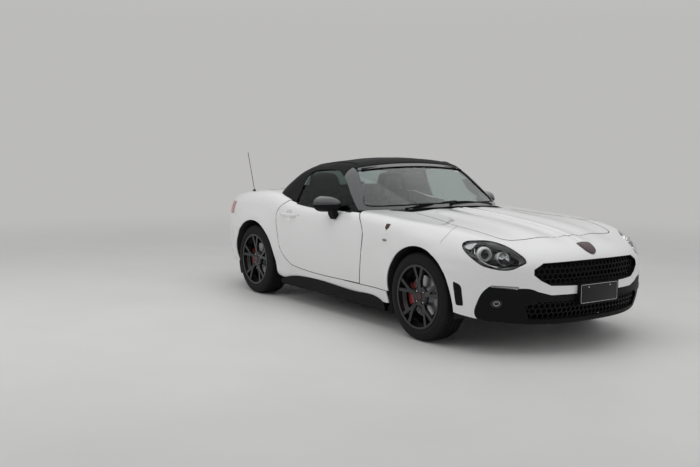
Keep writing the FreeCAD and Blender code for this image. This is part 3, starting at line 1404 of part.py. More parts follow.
def side_skirts():
    """Black skirts below both doors, between the wheel arches."""
    profile = [(770, 132), (798, 140), (806, 175), (806, 246), (784, 250), (770, 240)]
    strip = column("front", polygon("front", profile), -760, 790)
    strip = strip.common(region("side", SKIRT_OUTLINE, 700, 1000))
    return both_sides(strip)


# Door mirror, each section as middle x, y, middle z, half width, half height
MIRROR_SECTIONS = [(808, -132, 880, 24, 15), (820, -112, 880, 48, 36)]
MIRROR_SECTIONS += [(843, -55, 879, 80, 57), (865, 18, 878, 90, 62)]
BOWL_SECTIONS = [(857, -8, 878, 79, 52), (866, 22, 878, 85, 57)]
# Its foot, each level as x from and to, y from and to, z
MIRROR_FOOT = [(800, 843, -92, -64, 764), (800, 852, -112, -44, 800), (822, 866, -104, -52, 868)]


def left_mirror(forms):
    """Door mirror: rounded housing with an open glass bowl and its foot on the door."""
    housing = Part.makeLoft([oval(*section) for section in MIRROR_SECTIONS], True)
    housing = housing.cut(Part.makeLoft([oval(*section) for section in BOWL_SECTIONS], True))
    ends = []
    for x0, x1, y0, y1, z in MIRROR_FOOT:
        corners = [Vector(x0, y0, z), Vector(x1, y0, z), Vector(x1, y1, z), Vector(x0, y1, z)]
        ends.append(Part.makePolygon(corners + corners[:1]))
    return joined([housing, Part.makeLoft(ends, True, True)]).cut(forms.inside_door)


ANTENNA_FOOT = (700.0, 1430.0, 884.0)


def antenna(forms):
    """Short mast on the right rear quarter, with its foot shaped to the deck."""
    x, y, z = ANTENNA_FOOT
    side = [(0, -10), (16, -10), (16, 24), (11, 32), (0, 36), (0, -10)]
    half = Part.Face(Part.makePolygon([Vector(x + across, y, z + up) for across, up in side]))
    foot = turned(half, (x, y, 0), (0, 0, 1)).cut(forms.below_deck)
    mast = rod((x, y, z + 30), (x, y + 124, z + 372), 2.5)
    return mirrored(largest(joined([foot, mast])))


PLATE_WIDTH = 376.0
PLATE_HEIGHT = 138.0
PLATE_RIM = 4.0
FRONT_PLATE_Z = 393.0
REAR_PLATE_Z = 560.0


def plate_base(z, face_y, back_y):
    """Shallow tray that carries a number plate, with its open side at face_y."""
    half = PLATE_WIDTH / 2
    low, high = sorted((face_y, back_y))
    tray = block(-half, half, low, high, z - PLATE_HEIGHT / 2, z + PLATE_HEIGHT / 2)
    inner_low, inner_high = sorted((face_y, face_y + (4 if back_y > face_y else -4)))
    hollow = block(
        PLATE_RIM - half, half - PLATE_RIM, inner_low, inner_high,
        z - PLATE_HEIGHT / 2 + PLATE_RIM, z + PLATE_HEIGHT / 2 - PLATE_RIM,
    )
    return tray.cut(hollow)


def plate_bases(forms):
    """Front and rear plate trays, shaped to the bumper behind them."""
    outside = skin_between(body_room, forms.rows, -60, -SEAT_GAP)
    nose = both_sides(outside.common(block(-1, 300, -2200, -1900, 300, 480)))
    tail = both_sides(outside.common(block(-1, 300, 1900, 2200, 470, 650)))
    front = plate_base(FRONT_PLATE_Z, -LENGTH / 2, -LENGTH / 2 + 40).common(nose)
    rear = plate_base(REAR_PLATE_Z, LENGTH / 2, LENGTH / 2 - 60).common(tail)
    return Part.makeCompound([front, rear])


def main():
    """Builds every node, writes it and prints its size."""
    os.makedirs("parts", exist_ok=True)
    forms = Forms()
    seams = Seams()
    apron, intake_mesh = front_apron(forms, seams)
    pieces = {
        "hood": hood(forms, seams),
        "cowl_panel": cowl_panel(forms, seams),
        "front_bumper": front_bumper(forms, seams),
        "front_apron": apron,
        "intake_mesh": intake_mesh,
        "upper_grille": upper_grille(forms),
        "front_fenders": front_fenders(forms, seams),
        "rear_body": rear_body(forms, seams),
        "rear_bumper": rear_bumper(forms, seams),
        "rear_diffuser": rear_diffuser(forms, seams),
        "trunk_lid": trunk_lid(forms, seams),
        "tail_lamps": tail_lamps(forms, seams),
        "headlamps": headlamps(forms),
        "lamp_lenses": lamp_lenses(forms),
        "windscreen_frame": windscreen_frame(forms),
        "windscreen": windscreen(forms),
        "soft_top": soft_top(forms),
        "rear_window": rear_window(forms),
        "floor_tub": floor_tub(),
        "trunk_tub": trunk_tub(),
        "front_rails": front_rails(),
        "dashboard": dashboard(),
        "steering_wheel": steering_wheel(),
        "seats": Part.makeCompound([seat(-370), seat(370)]),
        "side_skirts": side_skirts(),
        "powertrain": powertrain(),
        "exhaust": exhaust(),
        "front_suspension": front_suspension(),
        "rear_suspension": rear_suspension(),
        "antenna": antenna(forms),
        "plate_bases": plate_bases(forms),
    }
    sided = {
        "door": left_door(forms),
        "door_glass": left_glass(forms),
        "mirror": left_mirror(forms),
        "knuckle": left_knuckle(),
    }
    for name, shape in sided.items():
        pieces[name + "_left"] = shape
        pieces[name + "_right"] = mirrored(shape)
    wheel_places = {
        "front": (FRONT_WHEEL_X, FRONT_AXLE_Y, DISC_RADIUS),
        "rear": (REAR_WHEEL_X, REAR_AXLE_Y, REAR_DISC_RADIUS),
    }
    cast_wheel = rim()
    rubber = tyre()
    for end, (x, y, disc_radius) in wheel_places.items():
        hub = Vector(x, y, AXLE_Z)
        for kind, shape in (("tyre", rubber), ("wheel", cast_wheel), ("brake_disc", brake_disc(disc_radius))):
            placed = shape.translated(hub)
            pieces[f"{kind}_{end}_left"] = placed
            pieces[f"{kind}_{end}_right"] = mirrored(placed)
    for name, shape in pieces.items():
        export(name, shape)
        print(name, shape.isValid(), len(shape.Solids), round(sum(s.Volume for s in shape.Solids) / 1e6, 3))


main()
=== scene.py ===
"""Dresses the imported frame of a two-seat open roadster: paint, glass, lamps, wheels, soft top and cabin."""

import logging
import math
from collections.abc import Callable, Sequence
from dataclasses import dataclass, field
from enum import Enum
from typing import ClassVar

import bmesh
import bpy
from mathutils import Matrix, Vector


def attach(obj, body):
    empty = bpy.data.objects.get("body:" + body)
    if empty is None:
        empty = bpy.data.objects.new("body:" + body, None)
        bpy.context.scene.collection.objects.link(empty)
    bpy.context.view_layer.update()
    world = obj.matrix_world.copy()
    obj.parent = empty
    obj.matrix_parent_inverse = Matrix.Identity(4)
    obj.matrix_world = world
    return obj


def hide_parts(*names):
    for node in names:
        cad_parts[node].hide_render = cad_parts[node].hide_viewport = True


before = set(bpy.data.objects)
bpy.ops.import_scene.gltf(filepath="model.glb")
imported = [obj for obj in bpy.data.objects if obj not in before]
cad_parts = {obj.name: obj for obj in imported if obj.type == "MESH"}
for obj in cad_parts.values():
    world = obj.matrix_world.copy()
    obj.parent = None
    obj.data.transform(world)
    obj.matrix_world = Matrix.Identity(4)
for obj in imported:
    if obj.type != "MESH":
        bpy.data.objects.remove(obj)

Colour = tuple[float, float, float]
Pair = tuple[float, float]
Point = tuple[float, float, float]

SIDES = {"left": 1.0, "right": -1.0}
AXLES = {"front": (0.748, -1.159, 0.308), "rear": (0.7515, 1.151, 0.308)}

log = logging.getLogger("roadster")


class Pattern(Enum):
    """The grain that a finish shows close up."""

    CLOUD = "fine mottling"
    CELLS = "leather cells"
    WEAVE = "crossed threads"
    RINGS = "turned rings"
    BRUSHED = "long strokes"


class Shader:
    """A material under construction, with short calls for the nodes that the finishes share."""

    def __init__(self, name: str) -> None:
        """Starts a material around one principled surface.

        Args:
            name: The material's name.
        """
        self.material = bpy.data.materials.new(name)
        self.material.use_nodes = True
        self.tree = self.material.node_tree
        self.surface = self.tree.nodes["Principled BSDF"]
        self.place = self.tree.nodes.new("ShaderNodeTexCoord").outputs["Object"]

    def add(self, kind: str, inputs: dict[str | int, object], **settings: object) -> bpy.types.Node:
        """Adds a node, with its settings and its inputs filled in.

        Args:
            kind: Blender's name for the node.
            inputs: What each input gets, a socket to join or a constant.
            **settings: Attributes of the node, set before its inputs.

        Returns:
            The new node.
        """
        node = self.tree.nodes.new(kind)
        for key, value in settings.items():
            setattr(node, key, value)
        for key, value in inputs.items():
            if isinstance(value, bpy.types.NodeSocket):
                self.tree.links.new(value, node.inputs[key])
            else:
                node.inputs[key].default_value = value
        return node

    def join(self, key: str, socket: bpy.types.NodeSocket) -> None:
        """Joins a socket to an input of the surface."""
        self.tree.links.new(socket, self.surface.inputs[key])

    def fix(self, **values: float | tuple) -> None:
        """Sets constant inputs of the surface, with spaces written as underscores."""
        for key, value in values.items():
            self.surface.inputs[key.replace("_", " ")].default_value = value

    def noise(
        self, scale: float, detail: float = 3.0, where: bpy.types.NodeSocket | None = None,
    ) -> bpy.types.NodeSocket:
        """Adds noise.

        Args:
            scale: Cells in a metre.
            detail: Finer octaves on top.
            where: The place that is read, or the object's own.

        Returns:
            The noise, from 0 to 1.
        """
        inputs = {"Vector": where or self.place, "Scale": scale, "Detail": detail}
        return self.add("ShaderNodeTexNoise", inputs).outputs["Fac"]

    def blend(self, share: bpy.types.NodeSocket, low: Colour, high: Colour) -> bpy.types.NodeSocket:
        """Mixes two colours by a share, with most of the change in the middle of its range.

        Args:
            share: The share, from 0 to 1.
            low: The colour at a low share.
            high: The colour at a high share.

        Returns:
            The mixed colour.
        """
        ramp = self.add("ShaderNodeValToRGB", {"Fac": share})
        ramp.color_ramp.elements[0].position = 0.3
        ramp.color_ramp.elements[1].position = 0.7
        ramp.color_ramp.elements[0].color = (*low, 1.0)
        ramp.color_ramp.elements[1].color = (*high, 1.0)
        return ramp.outputs["Color"]

    def spread(self, share: bpy.types.NodeSocket, low: float, high: float) -> bpy.types.NodeSocket:
        """Stretches a share over the range from low to high."""
        inputs = {"Value": share, "To Min": low, "To Max": high}
        return self.add("ShaderNodeMapRange", inputs).outputs["Result"]

    def relief(self, height: bpy.types.NodeSocket, depth: float, strength: float = 0.6) -> None:
        """Gives the surface a fine relief, depth metres high."""
        inputs = {"Height": height, "Distance": depth, "Strength": strength}
        self.join("Normal", self.add("ShaderNodeBump", inputs).outputs["Normal"])


@dataclass(frozen=True)
class Finish:
    """A surface finish, with the grain that breaks up its colour and its gloss."""

    name: str
    slot: str
    colour: Colour
    second: Colour
    pattern: Pattern = Pattern.CLOUD
    grain: float = 90.0
    depth: float = 0.0002
    rough: Pair = (0.4, 0.5)
    metallic: float = 0.0
    coat: float = 0.0
    sheen: float = 0.0
    shine: float = 0.5
    centre: Point = (0.0, 0.0, 0.0)

    def height(self, shader: Shader) -> bpy.types.NodeSocket:
        """Draws the grain.

        Args:
            shader: The material under construction.

        Returns:
            The grain's height, from 0 to 1.
        """
        if self.pattern is Pattern.CELLS:
            cells = shader.add(
                "ShaderNodeTexVoronoi", {"Vector": shader.place, "Scale": self.grain},
                feature="DISTANCE_TO_EDGE",
            )
            return shader.spread(cells.outputs["Distance"], 0.0, 3.0)
        if self.pattern is Pattern.WEAVE:
            threads = [
                shader.add(
                    "ShaderNodeTexWave",
                    {"Vector": shader.place, "Scale": self.grain, "Distortion": 0.6, "Detail": 1.0},
                    bands_direction=way,
                ).outputs["Fac"]
                for way in ("X", "Y", "Z")
            ]
            crossed = shader.add(
                "ShaderNodeMath", {0: threads[0], 1: threads[1]}, operation="MULTIPLY",
            ).outputs[0]
            return shader.add("ShaderNodeMath", {0: crossed, 1: threads[2]}, operation="MAXIMUM").outputs[0]
        if self.pattern is Pattern.RINGS:
            moved = shader.add(
                "ShaderNodeMapping", {"Vector": shader.place, "Location": [-c for c in self.centre]},
            )
            inputs = {"Vector": moved.outputs["Vector"], "Scale": self.grain, "Distortion": 1.2, "Detail": 2.0}
            rings = shader.add("ShaderNodeTexWave", inputs, wave_type="RINGS", rings_direction="X")
            return rings.outputs["Fac"]
        if self.pattern is Pattern.BRUSHED:
            stretched = shader.add("ShaderNodeMapping", {"Vector": shader.place, "Scale": (1.0, 0.06, 1.0)})
            return shader.noise(self.grain, 4.0, stretched.outputs["Vector"])
        return shader.noise(self.grain, 4.0)

    def make(self) -> bpy.types.Material:
        """Builds the material.

        Returns:
            The finished material.
        """
        shader = Shader(self.name)
        height = self.height(shader)
        patches = shader.noise(3.5, 5.0)
        share = shader.add("ShaderNodeMath", {0: height, 1: patches}, operation="ADD").outputs[0]
        half = shader.add("ShaderNodeMath", {0: share, 1: 0.5}, operation="MULTIPLY").outputs[0]
        shader.join("Base Color", shader.blend(half, self.colour, self.second))
        shader.join("Roughness", shader.spread(half, *self.rough))
        shader.relief(height, self.depth)
        shader.fix(Metallic=self.metallic, Specular_IOR_Level=self.shine, Sheen_Weight=self.sheen)
        shader.fix(Coat_Weight=self.coat, Coat_Roughness=0.04)
        return shader.material


@dataclass(frozen=True)
class PearlPaint:
    """White paint with fine pearl flakes under a clear coat."""

    name: str = "pearl_white_paint"
    slot: str = "white_paint"
    colour: Colour = (0.78, 0.78, 0.775)
    second: Colour = (0.84, 0.84, 0.835)
    flakes: float = 1900.0

    def make(self) -> bpy.types.Material:
        """Builds the paint.

        Returns:
            The finished material.
        """
        shader = Shader(self.name)
        flakes = shader.noise(self.flakes, 1.0)
        shader.join("Base Color", shader.blend(flakes, self.colour, self.second))
        shader.join("Roughness", shader.spread(shader.noise(2.4, 4.0), 0.3, 0.4))
        shader.relief(shader.noise(70.0, 1.0), 0.00004, 0.35)
        shader.fix(Metallic=0.0, Coat_Weight=1.0, Coat_Roughness=0.03, Coat_IOR=1.5)
        return shader.material


@dataclass(frozen=True)
class Pane:
    """Clear or tinted glass, with the faint dust film that glass carries."""

    name: str
    slot: str
    tint: Colour
    rough: Pair = (0.0, 0.03)
    bend: float = 1.45

    def make(self) -> bpy.types.Material:
        """Builds the glass.

        Returns:
            The finished material.
        """
        shader = Shader(self.name)
        film = shader.noise(5.0, 6.0)
        shade = tuple(0.96 * part for part in self.tint)
        shader.join("Base Color", shader.blend(film, self.tint, shade))
        shader.join("Roughness", shader.spread(film, *self.rough))
        shader.fix(Transmission_Weight=1.0, IOR=self.bend)
        return shader.material


class Paints:
    """Every finish of the car, each made once."""

    BODY = PearlPaint()
    TRIM = Finish(
        "moulded_black", "black_trim", (0.0032, 0.0034, 0.0037), (0.006, 0.0062, 0.0066), grain=900.0,
        rough=(0.45, 0.6), shine=0.12,
    )
    MESH = Finish(
        "mesh_black", "black_gloss", (0.003, 0.003, 0.0035), (0.006, 0.006, 0.0065), grain=900.0,
        rough=(0.4, 0.55), shine=0.18,
    )
    GLOSS = Finish(
        "gloss_black", "black_gloss", (0.003, 0.003, 0.0035), (0.005, 0.005, 0.0055), rough=(0.12, 0.2),
        coat=0.5, shine=0.3, depth=0.00003,
    )
    GRAPHITE = Finish(
        "graphite_lacquer", "black_gloss", (0.035, 0.036, 0.039), (0.05, 0.051, 0.055),
        grain=1500.0, rough=(0.25, 0.34), metallic=0.5, coat=1.0, depth=0.00002,
    )
    SCREEN = Pane("screen_glass", "glass", (0.86, 0.93, 0.915), bend=1.42)
    TINTED = Pane("side_glass", "glass", (0.3, 0.375, 0.355), bend=1.2)
    LENS = Pane("lamp_cover", "lamp_clear", (0.97, 0.98, 0.98), (0.0, 0.01), 1.15)
    RED_LENS = Finish(
        "red_lens", "lamp_red", (0.28, 0.004, 0.005), (0.4, 0.008, 0.008), grain=240.0, rough=(0.08, 0.16),
        coat=1.0, depth=0.0003,
    )
    BOWL = Finish(
        "lamp_bowl", "lamp_bowl", (0.003, 0.003, 0.0034), (0.006, 0.006, 0.0066), rough=(0.3, 0.4), shine=0.12,
    )
    CHROME = Finish(
        "bright_metal", "lamp_bowl", (0.72, 0.73, 0.74), (0.8, 0.81, 0.82), rough=(0.05, 0.12), metallic=1.0,
        depth=0.00003,
    )
    CLOTH = Finish(
        "soft_top_cloth", "fabric_top", (0.004, 0.004, 0.0045), (0.011, 0.011, 0.012),
        Pattern.WEAVE, 330.0, 0.0006, (0.82, 0.95), sheen=0.08, shine=0.12,
    )
    RUBBER = Finish(
        "tyre_rubber", "tyre", (0.006, 0.006, 0.0065), (0.012, 0.012, 0.0125), grain=700.0, rough=(0.66, 0.82),
        shine=0.2,
    )
    SEAL = Finish(
        "rubber_seal", "black_trim", (0.004, 0.004, 0.0045), (0.008, 0.008, 0.0085), grain=500.0,
        rough=(0.45, 0.6), shine=0.2,
    )
    ALLOY = Finish(
        "wheel_lacquer", "black_alloy", (0.006, 0.0063, 0.007), (0.011, 0.0115, 0.0125), grain=1200.0,
        rough=(0.28, 0.36), metallic=0.25, coat=0.25, depth=0.00003,
    )
    STEEL = Finish(
        "bare_steel", "steel", (0.34, 0.34, 0.35), (0.48, 0.48, 0.49), Pattern.BRUSHED, 400.0, 0.0001,
        (0.3, 0.42), metallic=1.0,
    )
    DARK_STEEL = Finish(
        "painted_steel", "dark_steel", (0.02, 0.02, 0.022), (0.045, 0.045, 0.048), rough=(0.45, 0.6),
    )
    CALIPER = Finish(
        "red_caliper", "dark_steel", (0.17, 0.004, 0.006), (0.24, 0.007, 0.009), grain=300.0, rough=(0.3, 0.42),
        coat=0.4,
    )
    CLEAR = Finish(
        "clear_lens", "lamp_clear", (0.16, 0.16, 0.165), (0.34, 0.34, 0.35), grain=300.0, rough=(0.1, 0.2),
        metallic=0.4, coat=0.6, depth=0.0003,
    )
    ENGINE = Finish(
        "cast_alloy", "engine", (0.2, 0.2, 0.205), (0.36, 0.36, 0.365), grain=260.0, depth=0.0006,
        rough=(0.45, 0.6), metallic=0.9,
    )
    HIDE = Finish(
        "black_hide", "leather", (0.012, 0.012, 0.013), (0.022, 0.021, 0.021), Pattern.CELLS, 420.0, 0.0005,
        (0.42, 0.58),
    )
    DASH = Finish(
        "dash_grain", "interior", (0.014, 0.014, 0.015), (0.024, 0.024, 0.025), Pattern.CELLS, 650.0, 0.0003,
        (0.6, 0.75),
    )
    SATIN = Finish(
        "satin_metal", "interior", (0.5, 0.5, 0.51), (0.62, 0.62, 0.63), Pattern.BRUSHED, 500.0, 0.00005,
        (0.25, 0.36), metallic=1.0,
    )
    DIAL = Finish(
        "dial_face", "interior", (0.01, 0.01, 0.011), (0.02, 0.02, 0.021), grain=400.0, rough=(0.2, 0.3),
    )
    CARPET = Finish(
        "floor_carpet", "interior", (0.012, 0.012, 0.012), (0.03, 0.03, 0.03), grain=1400.0, depth=0.002,
        rough=(0.9, 1.0), sheen=0.2,
    )
    UNDERSEAL = Finish(
        "underseal", "under_paint", (0.012, 0.012, 0.0125), (0.026, 0.026, 0.0265), grain=160.0, depth=0.0008,
        rough=(0.7, 0.85), shine=0.2,
    )
    PLATE = Finish(
        "plate_black", "black_trim", (0.005, 0.005, 0.0055), (0.008, 0.008, 0.0085), grain=500.0,
        rough=(0.3, 0.4), shine=0.3,
    )
    PLATE_EDGE = Finish(
        "plate_border", "black_trim", (0.55, 0.56, 0.57), (0.65, 0.66, 0.67), grain=500.0, rough=(0.3, 0.4),
        metallic=0.3,
    )
    SMOKE = Finish(
        "dark_badge", "black_gloss", (0.03, 0.005, 0.006), (0.06, 0.01, 0.012), grain=300.0, rough=(0.2, 0.3),
        coat=0.2, shine=0.3,
    )

    _made: dict[str, bpy.types.Material] = {}

    @classmethod
    def of(cls, finish: Finish | PearlPaint | Pane) -> bpy.types.Material:
        """Gives a finish's material, and makes it on its first use.

        Args:
            finish: The finish that is wanted.

        Returns:
            Its material.
        """
        if finish.name not in cls._made:
            cls._made[finish.name] = finish.make()
        return cls._made[finish.name]


AnyFinish = Finish | PearlPaint | Pane


@dataclass
class Form:
    """Points and faces of a piece under construction."""

    points: list[Vector] = field(default_factory=list)
    faces: list[tuple[int, ...]] = field(default_factory=list)

    def merge(self, other: "Form") -> "Form":
        """Adds another form's points and faces to this one, and returns this one."""
        start = len(self.points)
        self.points += other.points
        self.faces += [tuple(start + i for i in face) for face in other.faces]
        return self

    def moved(self, place: Matrix) -> "Form":
        """Returns the form after a placement."""
        return Form([place @ p for p in self.points], list(self.faces))

    def flipped(self, side: float) -> "Form":
        """Mirrors the form across the car's middle where side is negative, and returns the result."""
        if side > 0:
            return self
        return Form([Vector((-p.x, p.y, p.z)) for p in self.points], [face[::-1] for face in self.faces])


def grid(rows: Sequence[Sequence[Vector]], round_u: bool = False, round_v: bool = False) -> Form:
    """Joins rows of points into a surface.

    Args:
        rows: Rows of the same length.
        round_u: The last point of a row joins its first.
        round_v: The last row joins the first.

    Returns:
        The surface.
    """
    wide = len(rows[0])
    form = Form([Vector(p) for row in rows for p in row])
    for v in range(len(rows) if round_v else len(rows) - 1):
        for u in range(wide if round_u else wide - 1):
            a, b = v * wide, (v + 1) % len(rows) * wide
            form.faces.append((a + u, a + (u + 1) % wide, b + (u + 1) % wide, b + u))
    return form


def closed_grid(rows: Sequence[Sequence[Vector]]) -> Form:
    """Joins closed rings into a tube with its two ends filled.

    Args:
        rows: The rings, each with as many points.

    Returns:
        The closed form.
    """
    form = grid(rows, round_u=True)
    wide = len(rows[0])
    last = (len(rows) - 1) * wide
    form.faces.append(tuple(range(wide))[::-1])
    form.faces.append(tuple(range(last, last + wide)))
    return form


def lathe(profile: Sequence[Pair], turns: int = 48, closed: bool = False) -> Form:
    """Turns a profile round the X axis.

    Args:
        profile: Pairs of place along the axis and radius.
        turns: Steps round the axis.
        closed: The profile's last point joins its first.

    Returns:
        The turned form.
    """
    rows = []
    for x, radius in profile:
        angles = [2 * math.pi * i / turns for i in range(turns)]
        rows.append([Vector((x, radius * math.cos(a), radius * math.sin(a))) for a in angles])
    return grid(rows, round_u=True, round_v=closed)


def tube(
    path: Sequence[Vector], radius: float | Callable[[float], float], sides: int = 10, closed: bool = False,
    flat: float = 1.0,
) -> Form:
    """Lays a tube along a path.

    Args:
        path: The points that it follows.
        radius: Its radius, or a function of the share of the path that gives one.
        sides: Corners of its section.
        closed: The path's last point joins its first.
        flat: How far the section is pressed flat across the path.

    Returns:
        The tube, with filled ends where the path is open.
    """
    count = len(path)
    rows = []
    normal = None
    for i, here in enumerate(path):
        ahead = path[(i + 1) % count] if closed or i < count - 1 else path[i]
        behind = path[i - 1] if closed or i else path[i]
        way = (ahead - behind).normalized()
        if normal is None:
            normal = way.orthogonal().normalized()
        normal = (normal - way * normal.dot(way)).normalized()
        side = way.cross(normal)
        size = radius(i / max(1, count - 1)) if callable(radius) else radius
        angles = [2 * math.pi * k / sides for k in range(sides)]
        rows.append([here + (normal * math.cos(a) * flat + side * math.sin(a)) * size for a in angles])
    return grid(rows, round_u=True, round_v=True) if closed else closed_grid(rows)


def prism(outline: Sequence[Pair], depth: float, place: Matrix, bevel: float = 0.0) -> Form:
    """Raises an outline in the XY plane to a block with an eased upper edge.

    Args:
        outline: Corners, counter-clockwise.
        depth: Its height.
        place: Where it goes.
        bevel: How far the upper edge is eased.

    Returns:
        The block.
    """
    centre = Vector((sum(p[0] for p in outline) / len(outline), sum(p[1] for p in outline) / len(outline), 0.0))
    flat = [Vector((x, y, 0.0)) for x, y in outline]

    def ring(z: float, grow: float) -> list[Vector]:
        """The outline at a height, drawn in by grow."""
        return [p + (centre - p).normalized() * grow + Vector((0.0, 0.0, z)) for p in flat]

    rows = [ring(0.0, 0.0), ring(depth - bevel, 0.0)]
    if bevel:
        rows += [ring(depth - bevel * 0.3, bevel * 0.3), ring(depth, bevel)]
    return closed_grid(rows).moved(place)


def rounded(width: float, height: float, corner: float, steps: int = 5) -> list[Pair]:
    """A rectangle with rounded corners, centred, counter-clockwise.

    Args:
        width: Its width.
        height: Its height.
        corner: The radius of its corners.
        steps: Pieces in each corner.

    Returns:
        The outline.
    """
    points = []
    for cx, cy, start in ((1, 1, 0), (-1, 1, 90), (-1, -1, 180), (1, -1, 270)):
        for i in range(steps + 1):
            a = math.radians(start + 90 * i / steps)
            x = cx * (width / 2 - corner) + corner * math.cos(a)
            y = cy * (height / 2 - corner) + corner * math.sin(a)
            points.append((x, y))
    return points


def circle(radius: float, steps: int = 32) -> list[Pair]:
    """A circle as an outline, counter-clockwise."""
    return [
        (radius * math.cos(2 * math.pi * i / steps), radius * math.sin(2 * math.pi * i / steps))
        for i in range(steps)
    ]


def smooth_path(points: Sequence[Point], steps: int = 8, closed: bool = False) -> list[Vector]:
    """Runs a smooth line through points.

    Args:
        points: The points that it meets.
        steps: Pieces between two points.
        closed: The line comes back to its first point.

    Returns:
        The line's points.
    """
    knots = [Vector(p) for p in points]
    count = len(knots)

    def knot(i: int) -> Vector:
        """The knot at an index, held at the ends of an open line."""
        return knots[i % count] if closed else knots[min(max(i, 0), count - 1)]

    line = []
    for i in range(count if closed else count - 1):
        a, b, c, d = knot(i - 1), knot(i), knot(i + 1), knot(i + 2)
        for k in range(steps):
            t = k / steps
            line.append(
                0.5 * (2 * b + (c - a) * t + (
                    2 * a - 5 * b + 4 * c - d
                ) * t**2 + (3 * b - a - 3 * c + d) * t**3)
            )
    if not closed:
        line.append(knots[-1])
    return line


def placed(at: Point | Vector, facing: Vector, up: Vector = Vector((0.0, 0.0, 1.0))) -> Matrix:
    """A placement whose Z axis faces a way and whose Y axis stays near up.

    Args:
        at: Its origin.
        facing: The way that its Z axis points.
        up: The way that its Y axis leans towards.

    Returns:
        The placement.
    """
    z = facing.normalized()
    x = up.cross(z).normalized()
    y = z.cross(x)
    turn = Matrix((x, y, z)).transposed().to_4x4()
    return Matrix.Translation(Vector(at)) @ turn


def add_piece(
    name: str, form: Form, finish: AnyFinish, body: str, smooth: float = 40.0, subdivide: int = 0,
) -> bpy.types.Object:
    """Makes a piece and lets it ride with a body.

    Args:
        name: The piece's name.
        form: Its points and faces.
        finish: Its finish.
        body: The body that carries it.
        smooth: Faces that meet at less than this many degrees are shaded as one.
        subdivide: Levels of subdivision.

    Returns:
        The piece.
    """
    mesh = bpy.data.meshes.new(name)
    mesh.from_pydata([tuple(p) for p in form.points], [], form.faces)
    work = bmesh.new()
    work.from_mesh(mesh)
    bmesh.ops.remove_doubles(work, verts=work.verts, dist=1e-6)
    bmesh.ops.recalc_face_normals(work, faces=work.faces)
    work.to_mesh(mesh)
    work.free()
    mesh.shade_smooth()
    mesh.set_sharp_from_angle(angle=math.radians(smooth))
    mesh.materials.append(Paints.of(finish))
    piece = bpy.data.objects.new(name, mesh)
    bpy.context.scene.collection.objects.link(piece)
    if subdivide:
        modifier = piece.modifiers.new("rounding", "SUBSURF")
        modifier.levels = modifier.render_levels = subdivide
    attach(piece, body)
    log.info("%s: %d faces on %s", name, len(mesh.polygons), body)
    return piece


class Surface:
    """The outside of the frame's nodes, read by rays so that trim seats on what carries it."""

    @staticmethod
    def touch(nodes: Sequence[str], start: Vector, way: Vector) -> tuple[Vector, Vector] | None:
        """Finds where a ray first meets the nodes.

        Args:
            nodes: The nodes that are tried.
            start: Where the ray starts.
            way: Where it goes.

        Returns:
            The point and the surface's outward direction there, or None.
        """
        best = None
        for node in nodes:
            hit, point, normal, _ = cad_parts[node].ray_cast(start, way.normalized(), distance=3.0)
            if hit and (best is None or (point - start).length < (best[0] - start).length):
                best = (point.copy(), normal.copy())
        if best and best[1].dot(way) > 0:
            return best[0], -best[1]
        return best

    @classmethod
    def follow(
        cls, nodes: Sequence[str], points: Sequence[Vector], way: Vector, lift: float = 0.0,
    ) -> list[Vector]:
        """Drops points on to the nodes along a direction.

        Args:
            nodes: The nodes that carry them.
            points: The points, outside the surface.
            way: The direction of the drop.
            lift: How far they stand off the surface.

        Returns:
            The points that met the surface.
        """
        found = []
        for point in points:
            hit = cls.touch(nodes, point, way)
            if hit:
                found.append(hit[0] + hit[1] * lift)
        return found

    @classmethod
    def pad(
        cls, nodes: Sequence[str], outline: Sequence[Vector], way: Vector, lift: float, rings: int = 5,
        dish: float = 0.0,
    ) -> Form:
        """Makes a thin pad that follows the surface inside an outline.

        Args:
            nodes: The nodes that carry it.
            outline: Its closed outline, outside the surface.
            way: The direction in which it is laid.
            lift: Its thickness.
            rings: Steps from its edge to its middle.
            dish: How far its middle stands above its edge.

        Returns:
            The pad.
        """
        centre = sum(outline, Vector()) / len(outline)
        rows = []
        for share, up in [(1.0, -0.002), (1.0, lift * 0.6), (0.985, lift)]:
            rows.append((share, up))
        for i in range(1, rings):
            share = 0.985 * (1 - i / rings)
            rows.append((share, lift + dish * (1 - share**2)))
        made = []
        known = None
        for share, up in rows:
            row = []
            for point in outline:
                start = centre + (point - centre) * share
                hit = cls.touch(nodes, start, way) or known
                known = hit
                row.append(hit[0] + hit[1] * up)
            made.append(row)
        form = grid(made, round_u=True)
        hit = cls.touch(nodes, centre, way) or known
        form.points.append(hit[0] + hit[1] * (lift + dish))
        last = len(form.points) - 1
        wide = len(outline)
        inner = (len(made) - 1) * wide
        for u in range(wide):
            form.faces.append((inner + u, inner + (u + 1) % wide, last))
        form.faces.append(tuple(range(wide))[::-1])
        return form


